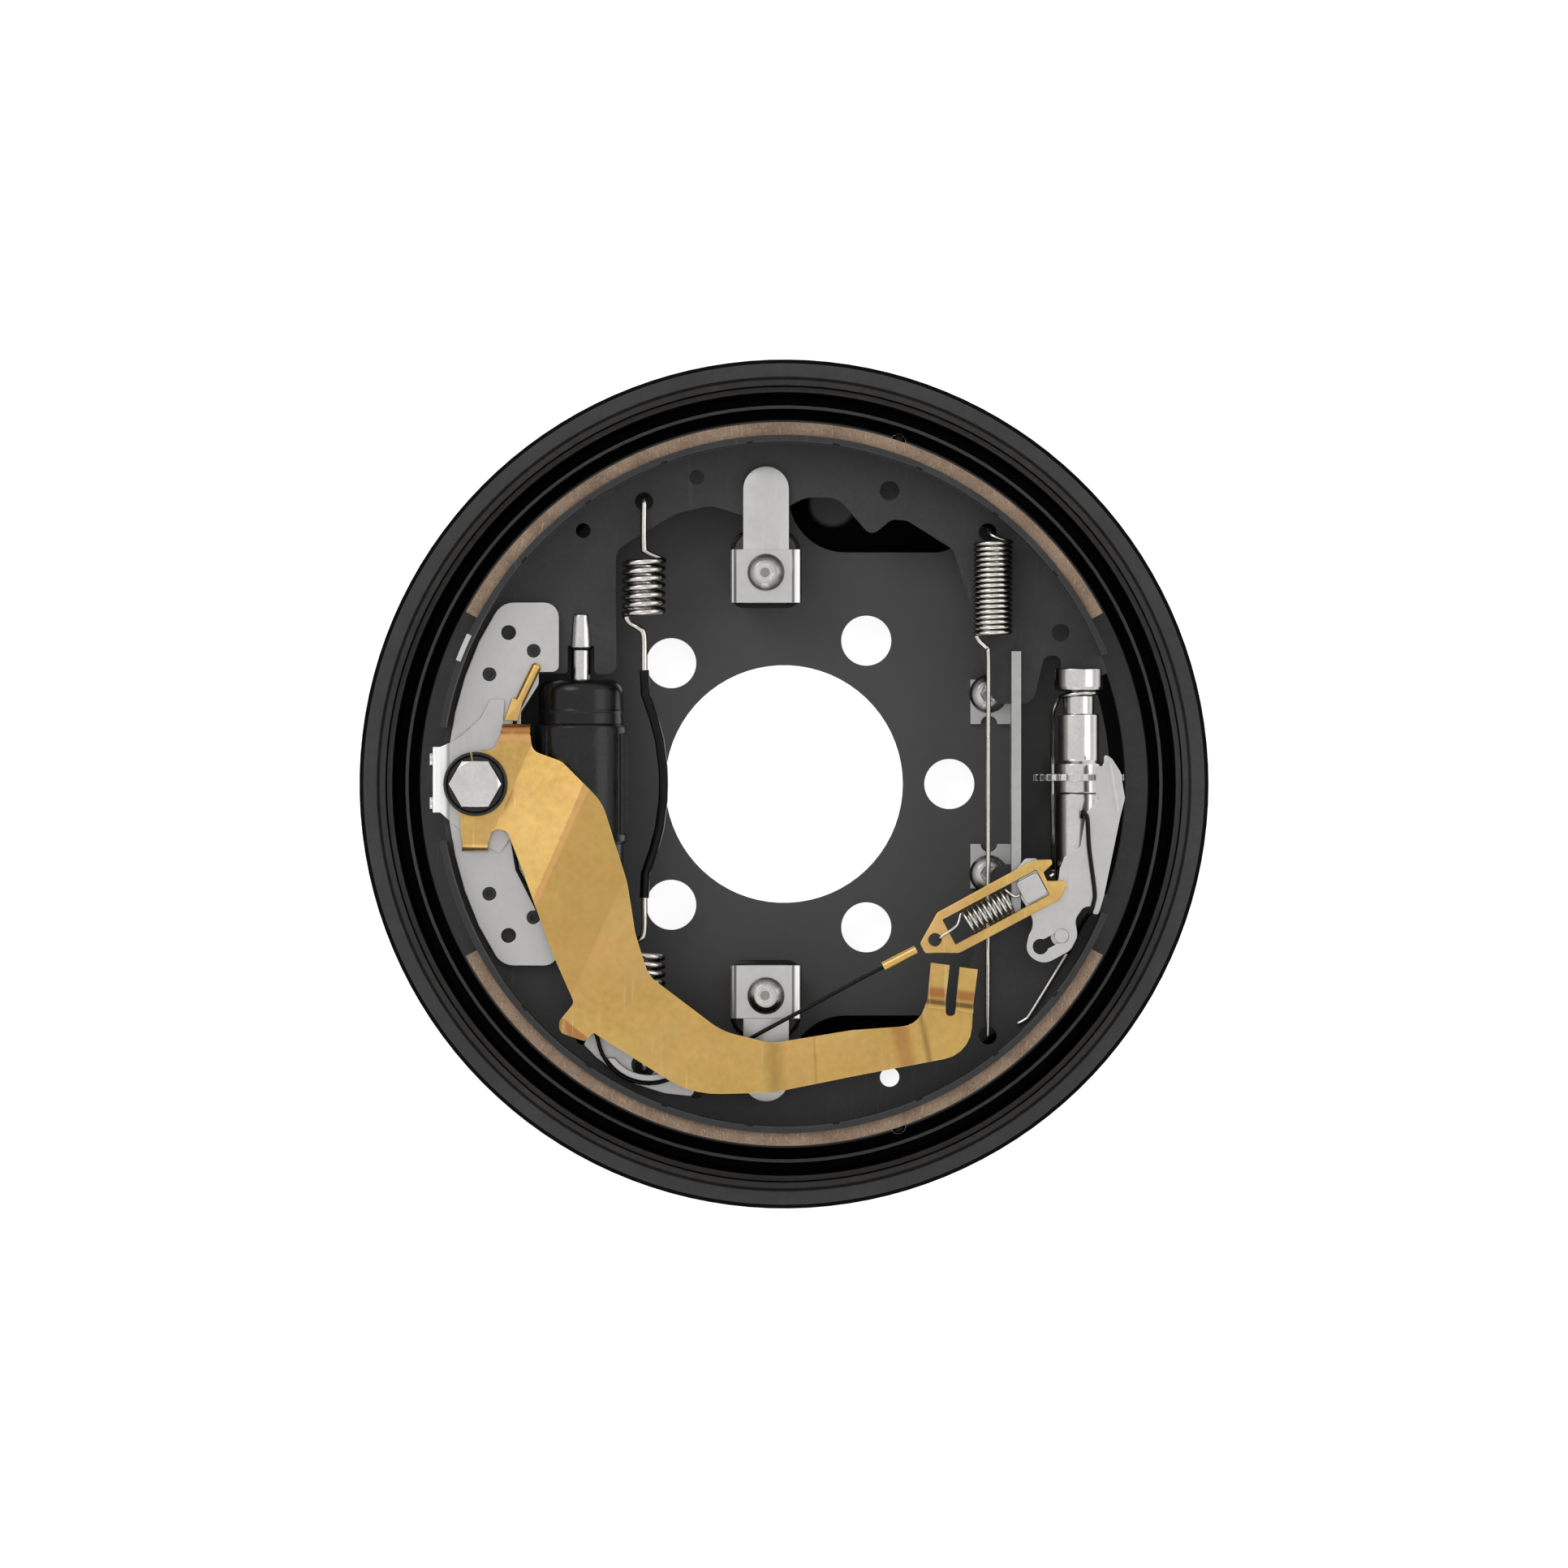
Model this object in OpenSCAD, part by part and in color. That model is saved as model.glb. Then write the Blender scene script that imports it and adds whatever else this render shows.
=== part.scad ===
// Duo-servo drum brake assembly, lying on its back: the axle runs along Z and the drum side is up.
// The anchor is at -X, the star-wheel adjuster at +X. Everything stands on the plate's rear rim at Z = 0.

/* [Backing plate] */
// Outer radius of the pressed plate
plate_r = 180; // [178:0.5:186]
// Sheet thickness of the platform
sheet_t = 4; // [3:0.25:5]
// Height of the platform's top over the rear rim
platform_h = 16; // [15:0.25:17]
// Radius of the pilot bore
pilot_r = 50.4; // [44:0.2:53]
// Radius of each wheel stud hole
stud_hole_r = 10.63; // [8:0.01:11.5]
// Radius of the stud hole circle
stud_circle_r = 70.1; // [67:0.1:73]

/* [Shoes] */
// Outer radius of the lining, a little under the drum's
lining_r = 152.1; // [151:0.1:154]
// Thickness of the lining
lining_t = 5.4; // [4:0.1:6.5]
// Width of the lining along the axle
lining_w = 52; // [40:1:54]
// Angle at which each lining starts, from +X
lining_start = 28.2; // [26:0.2:40]
// Angle at which each lining ends
lining_end = 151.6; // [140:0.2:153]
// Thickness of the shoe table
table_t = 2.6; // [2:0.1:3.2]
// Width of the shoe table along the axle
table_w = 56; // [54:1:57]
// Thickness of the shoe web
web_t = 5; // [4:0.25:5.5]
// Height of the web's middle plane over the platform
web_lift = 22; // [21.5:0.25:23]

/* [Anchor and cylinder] */
// Distance of the anchor bolt from the axle
anchor_d = 129.9; // [129:0.1:131]
// Radius of the anchor post
anchor_post_r = 11; // [9:0.25:12]
// Radius of the anchor bolt's shank
anchor_bolt_r = 6; // [5:0.25:6.5]
// Width over the flats of the anchor bolt's head
anchor_hex = 19.2; // [17:0.2:20]
// Thickness of the anchor plate
anchor_plate_t = 4; // [3:0.25:4.5]
// Distance of the wheel cylinder's axis from the axle
cylinder_d = 85.7; // [85:0.1:87]
// Outer radius of the cylinder casting
cylinder_r = 19.4; // [18.5:0.1:20]
// Half length of the cylinder casting
cylinder_half = 25.2; // [23:0.2:26]
// Radius of the cylinder's bore
cylinder_bore_r = 12.7; // [11:0.1:13.5]
// Outer radius of each rubber boot
boot_r = 17.9; // [16.5:0.1:18.4]
// Distance from the cylinder's middle to the end of each boot
boot_end = 44.1; // [42:0.1:44.6]
// Radius of each pushrod
pushrod_r = 4.1; // [3.2:0.1:4.6]

/* [Adjuster] */
// Distance of the adjuster's axis from the axle
adjuster_d = 124.4; // [124:0.1:125]
// Radius of the star wheel over its teeth
star_r = 19.1; // [17:0.1:19.4]
// Number of teeth on the star wheel
star_teeth = 26; // [18:1:30]
// Thickness of the star wheel
star_t = 2.7; // [2:0.1:3]
// Radius of the threaded tube
tube_r = 9.7; // [9:0.1:9.8]
// Radius of the adjusting screw's stem
stem_r = 4; // [3:0.1:5]
// Thickness of the adjuster lever
lever_t = 2.4; // [2:0.1:3]
// Thickness of the yoke
yoke_t = 2; // [1.5:0.1:2.5]
// Radius of the cable
cable_r = 0.9; // [0.6:0.05:1]

/* [Park lever] */
// Thickness of the park lever
park_t = 4; // [3:0.25:4]
// Height that the folds lift the park lever over the cylinder
park_lift = 9; // [8:0.25:10]

/* [Springs] */
// Wire radius of the left return spring
left_wire_r = 1.25; // [0.9:0.05:1.3]
// Mean coil radius of the left return spring
left_coil_r = 8; // [7:0.1:8.5]
// Wire radius of the right return spring
right_wire_r = 1; // [0.7:0.05:1]
// Mean coil radius of the right return spring
right_coil_r = 7.3; // [6:0.1:7.6]

/* [Hidden] */
// Clearances: fit between turned parts, slide for what moves past, seat for what rests loosely
fit_c = 0.05;
slide_c = 0.3;
$fn = 64;

// Heights
mid_z = platform_h + web_lift;
web_z0 = mid_z - web_t / 2;
web_z1 = mid_z + web_t / 2;
platform_z0 = platform_h - sheet_t;
anchor_z0 = web_z1 + 0.5;
anchor_z1 = anchor_z0 + anchor_plate_t;
anchor_thread_r = anchor_bolt_r - 1;
leaf_t = 1.8;
bracket_z1 = anchor_z1 + leaf_t;
park_z0 = anchor_z1 + 6;
park_z1 = park_z0 + park_t;
arm_z0 = park_z0 + park_lift;
lever_z0 = mid_z + star_r + 0.4;
lever_z1 = lever_z0 + lever_t;
yoke_z0 = lever_z1 + slide_c;
yoke_z1 = yoke_z0 + yoke_t;
cable_z = bracket_z1 + cable_r + slide_c;

// Shoe radii
table_r1 = lining_r - lining_t;
table_r0 = table_r1 - table_t;
table_end = 170.5;
table_start = 22;

// Hold-downs, guard rail and adjuster places
hold_x = -7.6;
hold_y = 89.3;
rail_x = 95.8;
rail_t = 4;
rail_screw = [86.7, 38.2];
shoe_tip_y = 44.6;
spring_hole_l = [-59.1, 119.3];
spring_hole_r = [86, 106.3];
spring_hole_radius_l = 3.8;
spring_hole_radius_r = 3.7;
inspect = [44.6, 123.8];
inspect_r = 4.1;
lever_pin = [116.8, -63.9];
lever_pin_r = 2.9;
yoke_dir = 28;
yoke_eye = [63.5, -65.5];
guide_c = [-57, -104.5];
guide_r = 20.6;
cylinder_bolt_y = 15;
bleeder = [12.6, 5];

black = "#222222";
zinc = "#bdbbb8";
gold = "#c8a555";
rubber = "#101010";
brown = "#89745f";

// Vector help
function unit(v) = v / norm(v);
function turn(p, a) = [p[0] * cos(a) - p[1] * sin(a), p[0] * sin(a) + p[1] * cos(a)];
function arc(c, r, a0, a1, n) = [for (i = [0 : n]) c + r * [cos(a0 + (a1 - a0) * i / n), sin(a0 + (a1 - a0) * i / n)]];
function wrap(a) = a > 180 ? a - 360 : a < -180 ? a + 360 : a;

// One corner [x, y, radius] of an outline, as the points of its fillet
function corner(p, c, q, n) =
    let (u = unit([p[0] - c[0], p[1] - c[1]]), v = unit([q[0] - c[0], q[1] - c[1]]))
    let (half = acos(max(-1, min(1, u * v))) / 2)
    c[2] == 0 || half > 89.5 ? [[c[0], c[1]]] :
    let (o = [c[0], c[1]] + unit(u + v) * c[2] / sin(half), d = c[2] / tan(half))
    let (s = [c[0], c[1]] + u * d - o, e = [c[0], c[1]] + v * d - o)
    let (a0 = atan2(s[1], s[0]), sweep = wrap(atan2(e[1], e[0]) - a0))
    arc(o, c[2], a0, a0 + sweep, n);

// An outline given by its corners [x, y, radius]
function outline(pts, n = 5) =
    let (k = len(pts))
    [for (i = [0 : k - 1]) each corner(pts[(i + k - 1) % k], pts[i], pts[(i + 1) % k], n)];

// Round wire along a path, with its frame carried from ring to ring
module wire(path, r, sides = 8) {
    k = len(path);
    tangents = [for (i = [0 : k - 1]) unit(path[min(i + 1, k - 1)] - path[max(i - 1, 0)])];
    first = unit(cross(tangents[0], [0.31, 0.87, 0.39]));
    sides_u = [for (i = 0, u = first; i < k; i = i + 1,
                    u = i < k ? unit(u - tangents[i] * (u * tangents[i])) : u) u];
    points = [for (i = [0 : k - 1]) let (w = cross(tangents[i], sides_u[i]))
              for (j = [0 : sides - 1]) let (a = 360 * j / sides)
              path[i] + r * (cos(a) * sides_u[i] + sin(a) * w)];
    skin = [for (i = [0 : k - 2]) for (j = [0 : sides - 1])
            let (a = i * sides + j, b = i * sides + (j + 1) % sides)
            each [[a, a + sides, b + sides], [a, b + sides, b]]];
    caps = [[for (j = [0 : sides - 1]) j], [for (j = [sides - 1 : -1 : 0]) (k - 1) * sides + j]];
    polyhedron(points = points, faces = concat(skin, caps), convexity = 6);
}

// Points of a coil round an axis along Y, from start angle a0 over a number of turns
function coil_y(c, r, y0, y1, a0, turns, per) =
    [for (i = [0 : round(abs(turns) * per)])
     let (f = i / round(abs(turns) * per), a = a0 + 360 * turns * f)
     [c[0] + r * cos(a), y0 + (y1 - y0) * f, c[1] + r * sin(a)]];

module flip_y(lower) {
    mirror([0, lower ? 1 : 0, 0]) children();
}

module slab(pts, z0, z1) {
    translate([0, 0, z0]) linear_extrude(z1 - z0) polygon(pts);
}

module peg(p, r, z0, z1, fn = 32) {
    translate([p[0], p[1], z0]) cylinder(r = r, h = z1 - z0, $fn = fn);
}

module hexagon(p, flats, z0, z1) {
    translate([p[0], p[1], z0]) cylinder(r = flats / sqrt(3), h = z1 - z0, $fn = 6);
}

// A turned part on an axis along +Y through (x, mid_z), drawn as [radius, y] outline
module turned_y(x, profile) {
    translate([x, 0, mid_z]) rotate([-90, 0, 0]) rotate_extrude($fn = 64) polygon(profile);
}

// Button-head screw with a hexagon socket
module button_screw(p, r, z, drop) {
    head = r * 0.55;
    difference() {
        union() {
            translate([p[0], p[1], z]) rotate_extrude($fn = 48)
                polygon([[0, 0], [r, 0], [r, head * 0.25], [r * 0.88, head * 0.68], [r * 0.62, head], [0, head]]);
            peg(p, r * 0.42, z - drop, z);
        }
        hexagon(p, r * 0.74, z + head * 0.35, z + head + 1);
    }
}

// Backing plate

groove_z = 3.5;
ledge_z = 8;
flange_z = 18.5;

// Rise of the mounting pad behind the platform
pad_h = 0.5;

// Pressed pocket between the platform and the shoe, grown by the wall of the sheet
module pocket(grow, z0, z1) {
    translate([0, 0, z0]) linear_extrude(z1 - z0) intersection() {
        circle(r = grow > 0 ? 143.5 : 144.7);
        union() {
            translate([26, 122.2]) circle(r = 24 + grow);
            translate([64, 112.2]) circle(r = 14 + grow);
            translate([26, 98.2 - grow]) square([38, 50]);
            translate([2 - grow, 122.2]) square([76 + 2 * grow, 30]);
        }
    }
}

module backing_plate() {
    color(black) difference() {
        union() {
            rotate_extrude($fn = 180) polygon([
                [130, platform_h], [138.2, platform_h], [144.7, ledge_z], [155.2, ledge_z],
                [155.8, groove_z], [159, groove_z], [159.2, 13], [160.6, 13], [160.8, groove_z],
                [164.4, groove_z], [166.2, 14], [168.4, 14.6], [169, 17], [171.4, 17.6], [172.7, flange_z],
                [plate_r - 1.7, flange_z], [plate_r, flange_z - 1.5], [plate_r, flange_z - 3.5],
                [172.4, flange_z - 3.5], [169.8, 12.6], [168.2, 1.2], [167, 0], [152.5, 0],
                [151.5, 4.5], [143.2, 4.5], [136.6, platform_z0], [130, platform_z0]]);
            translate([0, 0, platform_z0]) cylinder(r = 131, h = sheet_t, $fn = 180);
            for (lower = [false, true]) flip_y(lower) pocket(3.5, 3, platform_z0 + 0.5);
            intersection() {
                cylinder(r = stud_circle_r + stud_hole_r + 3, h = platform_z0 + 0.5, $fn = 128);
                translate([-cylinder_d + 13, -90, platform_z0 - pad_h]) cube([180, 180, 2]);
            }
        }
        for (lower = [false, true]) flip_y(lower) {
            pocket(0, 6.5, platform_h + 1);
            peg([34.9, 60.8] * stud_circle_r / norm([34.9, 60.8]), stud_hole_r, 0, 20, 64);
            peg([-47.8, 51.2] * stud_circle_r / norm([47.8, 51.2]), stud_hole_r, 0, 20, 64);
            peg(inspect, 6, 0, 20, 48);
            peg([hold_x, hold_y], 3.4, 0, 20);
            peg(rail_screw, 3.6, 0, 20);
            peg([-cylinder_d, cylinder_bolt_y], 4.2, 0, 20);
            peg([48.5, 145.5], 3.2, 0, 20);
        }
        peg([stud_circle_r, 0], stud_hole_r, 0, 20, 64);
        peg([0, 0], pilot_r, 0, 20, 128);
        peg([-anchor_d, 0], anchor_thread_r + 0.3, 0, 20);
        peg([-cylinder_d, 0], 8.3, 0, 20);
        peg([-cylinder_d + bleeder[0], bleeder[1]], 5, 0, 20);
    }
}

module inspection_plug() {
    color("#4a4a4a") {
        peg(inspect, 5.9, 3.2, 6.6, 48);
        peg(inspect, 7, 6.5, 8.1, 48);
    }
}

// Anchor

module anchor_post() {
    color(zinc) difference() {
        peg([-anchor_d, 0], anchor_post_r, platform_h, anchor_z0, 64);
        peg([-anchor_d, 0], anchor_bolt_r + 0.1, 0, 60);
    }
}

anchor_screws = [[-105.6, 56.2], [-124.3, 46.3]];
anchor_spare = [-116.2, 63.9];

module anchor_plate() {
    half = [[-119.3, 76.6], [-95, 76.6], [-95, 47.3], [-103.5, 47.3], [-103.5, 42], [-111, 30.2]];
    round_r = [9, 6.2, 2.5, 0.8, 2.5, 3];
    upper = [for (i = [0 : 5]) [half[i][0], half[i][1], round_r[i]]];
    lower = [for (i = [5 : -1 : 0]) [half[i][0], -half[i][1], round_r[i]]];
    left = [for (y = [-60 : 15 : 60]) [-sqrt(142 * 142 - y * y), y, 0]];
    color(zinc) difference() {
        slab(outline(concat(upper, lower, left)), anchor_z0, anchor_z1);
        for (lower = [false, true]) flip_y(lower) {
            peg(anchor_spare, 3.1, 0, 60);
            for (p = anchor_screws) peg(p, 2.9, 0, 60);
        }
        peg([-anchor_d, 0], anchor_bolt_r + 0.1, 0, 60);
    }
}

module anchor_plate_screws() {
    color(rubber) for (lower = [false, true]) flip_y(lower) for (p = anchor_screws) difference() {
        peg(p, 2.85, anchor_z0, anchor_z1 - 0.4);
        hexagon(p, 2.5, anchor_z0 + 2, anchor_z1);
    }
}

flange_x0 = -148.3;

module anchor_bracket() {
    bend = 3.4;
    leaf = [[-144.9, 15.6, 0], [-140, 17.8, 2], [-134.4, 22.1, 6], [-128.2, 27.6, 4], [-123.9, 35.7, 1.5],
            [-117.7, 35.7, 1], [-118.4, 24.5, 2], [-120.2, 17.1, 4], [-119, 0, 0], [-121, -16, 3],
            [-114.5, -22, 1], [-120, -29.5, 1.5], [-129, -24.5, 2], [-134.5, -21.5, 1.5], [-144.9, -12, 0]];
    color(zinc) difference() {
        union() {
            slab(outline(leaf), anchor_z1, bracket_z1);
            translate([flange_x0 + bend, 15.6, bracket_z1 - bend]) rotate([90, 0, 0])
                linear_extrude(27.6) intersection() {
                    difference() {
                        circle(r = bend);
                        circle(r = bend - leaf_t);
                    }
                    translate([-bend - 1, 0]) square([bend + 1, bend + 1]);
                }
            translate([flange_x0, -12, mid_z - 6]) cube([leaf_t, 27.6, bracket_z1 - bend - mid_z + 6]);
        }
        peg([-anchor_d, 0], anchor_bolt_r + 0.1, 0, 60);
        for (y = [10.4, -8]) translate([flange_x0 - 1, y, mid_z]) rotate([0, 90, 0]) cylinder(r = 1.8, h = 5, $fn = 24);
    }
}

module bracket_rivets() {
    color(zinc) for (y = [10.4, -8]) translate([flange_x0, y, mid_z]) rotate([0, 90, 0]) {
        translate([0, 0, -1.2]) cylinder(r = 3.2, h = 1.2, $fn = 32);
        cylinder(r = 1.75, h = leaf_t + 0.6, $fn = 32);
        translate([0, 0, leaf_t]) cylinder(r = 2.6, h = 0.8, $fn = 32);
    }
}

bush_r = 9;

module pivot_bush() {
    color(zinc) difference() {
        peg([-anchor_d, 0], bush_r - fit_c, bracket_z1, park_z1 + slide_c, 64);
        peg([-anchor_d, 0], anchor_bolt_r + 0.1, 0, 80);
    }
}

module anchor_bolt() {
    color(zinc) {
        peg([-anchor_d, 0], anchor_bolt_r, platform_h, park_z1 + slide_c, 48);
        peg([-anchor_d, 0], anchor_thread_r, 1, platform_h + 1, 48);
        difference() {
            hexagon([-anchor_d, 0], anchor_hex, park_z1 + slide_c, park_z1 + 8);
            translate([-anchor_d, 0, park_z1 + 8]) rotate_extrude($fn = 64)
                polygon([[anchor_hex / 2, 0.01], [13, 0.01], [13, -2]]);
        }
    }
}

module lock_ring() {
    color(rubber) difference() {
        peg([-anchor_d, 0], 13.5, park_z1 + slide_c, park_z1 + 2.3, 64);
        peg([-anchor_d, 0], 11.4, 0, 80, 64);
        translate([-anchor_d - 1, 5, 0]) cube([2, 12, 80]);
    }
}

module anchor_nut() {
    color(zinc) difference() {
        union() {
            translate([-anchor_d, 0, 2]) rotate([0, 0, 30]) cylinder(r = 17 / sqrt(3), h = 6.4, $fn = 6);
            peg([-anchor_d, 0], 6.6, 8, platform_z0, 48);
        }
        peg([-anchor_d, 0], anchor_thread_r + 0.02, 0, 20, 48);
    }
}

// Wheel cylinder

module cylinder_body() {
    x = -cylinder_d;
    color(black) difference() {
        union() {
            turned_y(x, [[0, -cylinder_half], [cylinder_r - 1, -cylinder_half], [cylinder_r, 1 - cylinder_half],
                         [cylinder_r, cylinder_half - 1], [cylinder_r - 1, cylinder_half], [0, cylinder_half]]);
            translate([x - 16, 3 - cylinder_half, platform_h]) cube([32, 2 * cylinder_half - 6, web_lift - 8]);
            translate([x + 15, 4 - cylinder_half, mid_z - 9]) cube([4.8, 2 * cylinder_half - 8, 18]);
            peg([x, 0], 8, 3, platform_h + 4, 48);
        }
        translate([x, -40, mid_z]) rotate([-90, 0, 0]) cylinder(r = cylinder_bore_r, h = 80, $fn = 96);
        peg([x, 0], 4.5, 0, 14, 48);
        peg([x, 0], 1.5, 10, mid_z - cylinder_bore_r + 2, 24);
        for (y = [-1, 1]) peg([x, y * cylinder_bolt_y], 4.02, 0, platform_h + 6, 48);
        peg([x + bleeder[0], bleeder[1]], 2.52, 0, platform_h + 5, 32);
    }
}

module cylinder_bolts() {
    color(zinc) for (y = [-1, 1]) {
        peg([-cylinder_d, y * cylinder_bolt_y], 4, platform_z0, platform_h + 5, 48);
        hexagon([-cylinder_d, y * cylinder_bolt_y], 12.8, platform_z0 - 5.5, platform_z0);
    }
}

module bleeder_screw() {
    p = [bleeder[0] - cylinder_d, bleeder[1]];
    color(zinc) difference() {
        union() {
            peg(p, 2.5, 8, platform_h + 4.5);
            hexagon(p, 7.2, 5.5, 10.5);
            peg(p, 2.6, 1.5, 5.6);
        }
        peg(p, 0.9, 0, 9, 24);
    }
}

cup_y = 9;
piston_y = 13;

module cylinder_spring() {
    color(zinc) wire(coil_y([-cylinder_d, mid_z], 8.5, -cup_y - 0.9, cup_y + 0.9, 0, 6, 12), 0.6, 6);
}

module cup(lower) {
    color(rubber) flip_y(lower)
        turned_y(-cylinder_d, [[0, cup_y + 1.8], [10.6, cup_y + 1.8], [10.6, cup_y], [cylinder_bore_r - 0.1, cup_y],
                               [cylinder_bore_r - 0.05, piston_y], [0, piston_y]]);
}

module piston(lower) {
    color(zinc) flip_y(lower)
        turned_y(-cylinder_d, [[0, piston_y], [cylinder_bore_r - fit_c, piston_y], [cylinder_bore_r - fit_c, 24.6],
                               [8.5, 24.6], [8.5, 19.5], [0, 18]]);
}

module boot(lower) {
    t = 1.6;
    e = boot_end;
    color(rubber) flip_y(lower)
        turned_y(-cylinder_d, concat(
            [[boot_r - 2.2, cylinder_half], [boot_r, cylinder_half], [boot_r, 30], [boot_r + 0.25, 30.4],
             [boot_r + 0.25, 31], [boot_r, 31.4]],
            arc([boot_r - 5.5, e - 5.5], 5.5, 0, 90, 8),
            [[pushrod_r + slide_c, e], [pushrod_r + slide_c, e - t]],
            arc([boot_r - 5.5, e - 5.5], 5.5 - t, 90, 0, 8),
            [[boot_r - t, cylinder_half + 2], [boot_r - 2.2, cylinder_half + 2]]));
}

rod_shoulder = 57.8;
rod_tip = 71.7;

module pushrod(lower) {
    slot_y = rod_shoulder + slide_c;
    color(zinc) flip_y(lower) difference() {
        turned_y(-cylinder_d, [[0, 18.3], [3, 18.9], [pushrod_r, 20.2], [pushrod_r, rod_shoulder - 1.5],
                               [5.2, rod_shoulder], [4.2, rod_tip - 0.5], [3.8, rod_tip], [0, rod_tip]]);
        translate([-cylinder_d - 8, slot_y, web_z0 - slide_c]) cube([16, rod_tip - slot_y + 5, web_t + 2 * slide_c]);
    }
}

// Shoes

web_inner = [
    [-143, 4, 1], [-112.5, 4, 2], [-112, 29, 3], [-105.5, 40, 4], [-104.5, 46.6, 1],
    [-cylinder_d - 5.65, 46.6, 1], [-cylinder_d - 5.65, 58.4, 0.8], [-cylinder_d + 5.6, 58.4, 0.8],
    [-cylinder_d + 5.6, 46.2, 2], [-70.8, 46.2, 4], [-70.8, 98.6, 7], [-46, 114, 20], [-30.9, 117.6, 12],
    [-10, 111, 8], [9.1, 121, 12], [22.6, 121, 10], [36.8, 104.5, 4], [45.5, 111.8, 5], [52, 111.2, 5],
    [71.5, 99, 6], [80, 71, 20], [87.8, 33.9, 7], [105, 33.9, 6], [109.9, 54.2, 4], [116.9, 54.2, 3],
    [116.9, shoe_tip_y, 1], [131.9, shoe_tip_y, 1]];

module shoe_sector(r0, r1, a0, a1, w) {
    translate([0, 0, mid_z - w / 2]) intersection() {
        difference() {
            cylinder(r = r1, h = w, $fn = 180);
            translate([0, 0, -1]) cylinder(r = r0, h = w + 2, $fn = 180);
        }
        translate([0, 0, -2]) linear_extrude(w + 4) polygon(concat([[0, 0]], arc([0, 0], 2 * r1, a0, a1, 4)));
    }
}

module shoe(lower) {
    rim = arc([0, 0], table_r0 + 0.4, 19, 176, 72);
    web = outline(concat(web_inner, [for (p = rim) [p[0], p[1], 0]]));
    color("#333333") flip_y(lower) difference() {
        union() {
            shoe_sector(table_r0, table_r1, table_start, table_end, table_w);
            slab(web, web_z0, web_z1);
        }
        peg([-anchor_d, 0], anchor_post_r + slide_c, 0, 60, 64);
        peg([-36.9, 129.5], 3.1, 0, 60);
        peg(spring_hole_l, spring_hole_radius_l, 0, 60);
        peg([-84.8, 107], 3.1, 0, 60);
        peg(spring_hole_r, spring_hole_radius_r, 0, 60);
        peg([lever_pin[0], -lever_pin[1]], lower ? lever_pin_r + 0.02 : 3.7, 0, 60);
        peg(inspect, inspect_r, 0, 60);
    }
}

module lining(lower) {
    color(brown) flip_y(lower) shoe_sector(table_r1, lining_r, lining_start, lining_end, lining_w);
}

// Hold-downs

seat_z1 = web_z1 + 0.5;
leaf_z1 = seat_z1 + 1.4;
clip_z1 = leaf_z1 + 1.8;

module hold_down_seat(lower) {
    color(zinc) flip_y(lower) difference() {
        slab(outline([[-24, 73, 7], [8.6, 73, 7], [8.6, 108, 7], [-24, 108, 7]]), platform_h, seat_z1);
        slab(outline([[-20, 99.5, 2], [4.6, 99.5, 2], [4.6, 104.5, 2], [-20, 104.5, 2]]), platform_h - 1, seat_z1 + 1);
        peg([hold_x, hold_y], 3.3, 0, 60);
    }
}

module hold_down_leaf(lower) {
    color(zinc) flip_y(lower) difference() {
        slab(concat(arc([hold_x, 124.4], 9.65, 0, 180, 24), [[hold_x - 9.65, 80], [hold_x + 9.65, 80]]), seat_z1, leaf_z1);
        peg([hold_x, hold_y], 3.3, 0, 60);
    }
}

module hold_down_clip(lower) {
    color(zinc) flip_y(lower) difference() {
        slab([[-23, 76.5], [7.7, 76.5], [7.7, 99.1], [-23, 99.1]], seat_z1, clip_z1);
        slab([[-20.8, 76], [5.5, 76], [5.5, 100], [-20.8, 100]], seat_z1 - 1, leaf_z1);
        peg([hold_x, hold_y], 3.3, 0, 60);
    }
}

module hold_down_screws() {
    color(zinc) for (lower = [false, true]) flip_y(lower)
        button_screw([hold_x, hold_y], 7.8, clip_z1, clip_z1 - platform_z0 + 3);
}

// Guard rail

rail_bar_z = web_z1 + 1;
rail_top = lever_z0 - 3;

module guard_rail() {
    color(zinc) difference() {
        union() {
            translate([rail_x, -55.9, rail_bar_z]) cube([rail_t, 111.8, rail_top - rail_bar_z]);
            translate([rail_x, -33, platform_h]) cube([rail_t, 66, rail_bar_z - platform_h]);
            for (lower = [false, true]) flip_y(lower) {
                translate([79, 25.4, platform_h]) cube([rail_x - 79 + 1, 18.9, 2.5]);
                translate([rail_x, 25.4, platform_h]) cube([rail_t, 18.9, 12]);
            }
        }
        for (lower = [false, true]) flip_y(lower) {
            peg(rail_screw, 3.6, 0, 60);
            peg([rail_screw[0] + 0.2, 25.4], 3.5, 0, 60);
        }
    }
}

module guard_rail_screws() {
    color(zinc) for (lower = [false, true]) flip_y(lower)
        button_screw(rail_screw, 8.1, platform_h + 2.5, sheet_t + 5);
}

// Return springs

left_z = web_z1 + 4.5;

// Upper half of the left spring: hook, coil and straight wire
function left_half(s) =
    let (x = spring_hole_l[0], y = spring_hole_l[1])
    let (half = concat(
        [[x, y + 1.6, web_z0 - 1.5], [x, y + 1.4, mid_z], [x, y + 1.2, left_z - 2.5], [x, y + 0.3, left_z - 0.6],
         [x, y - 1.6, left_z], [x, 101, left_z], [x + 1.2, 97.6, left_z]],
        [for (p = coil_y([x, left_z], left_coil_r, 94.5, 71.5, 0, 6.5, 14)) p],
        [[x - left_coil_r + 2, 68.2, left_z - 1], [x - 2, 65.6, left_z], [x, 62.5, left_z], [-58.9, 48, left_z]]))
    s > 0 ? half : [for (i = [len(half) - 1 : -1 : 0]) [half[i][0], -half[i][1], half[i][2]]];

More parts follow.
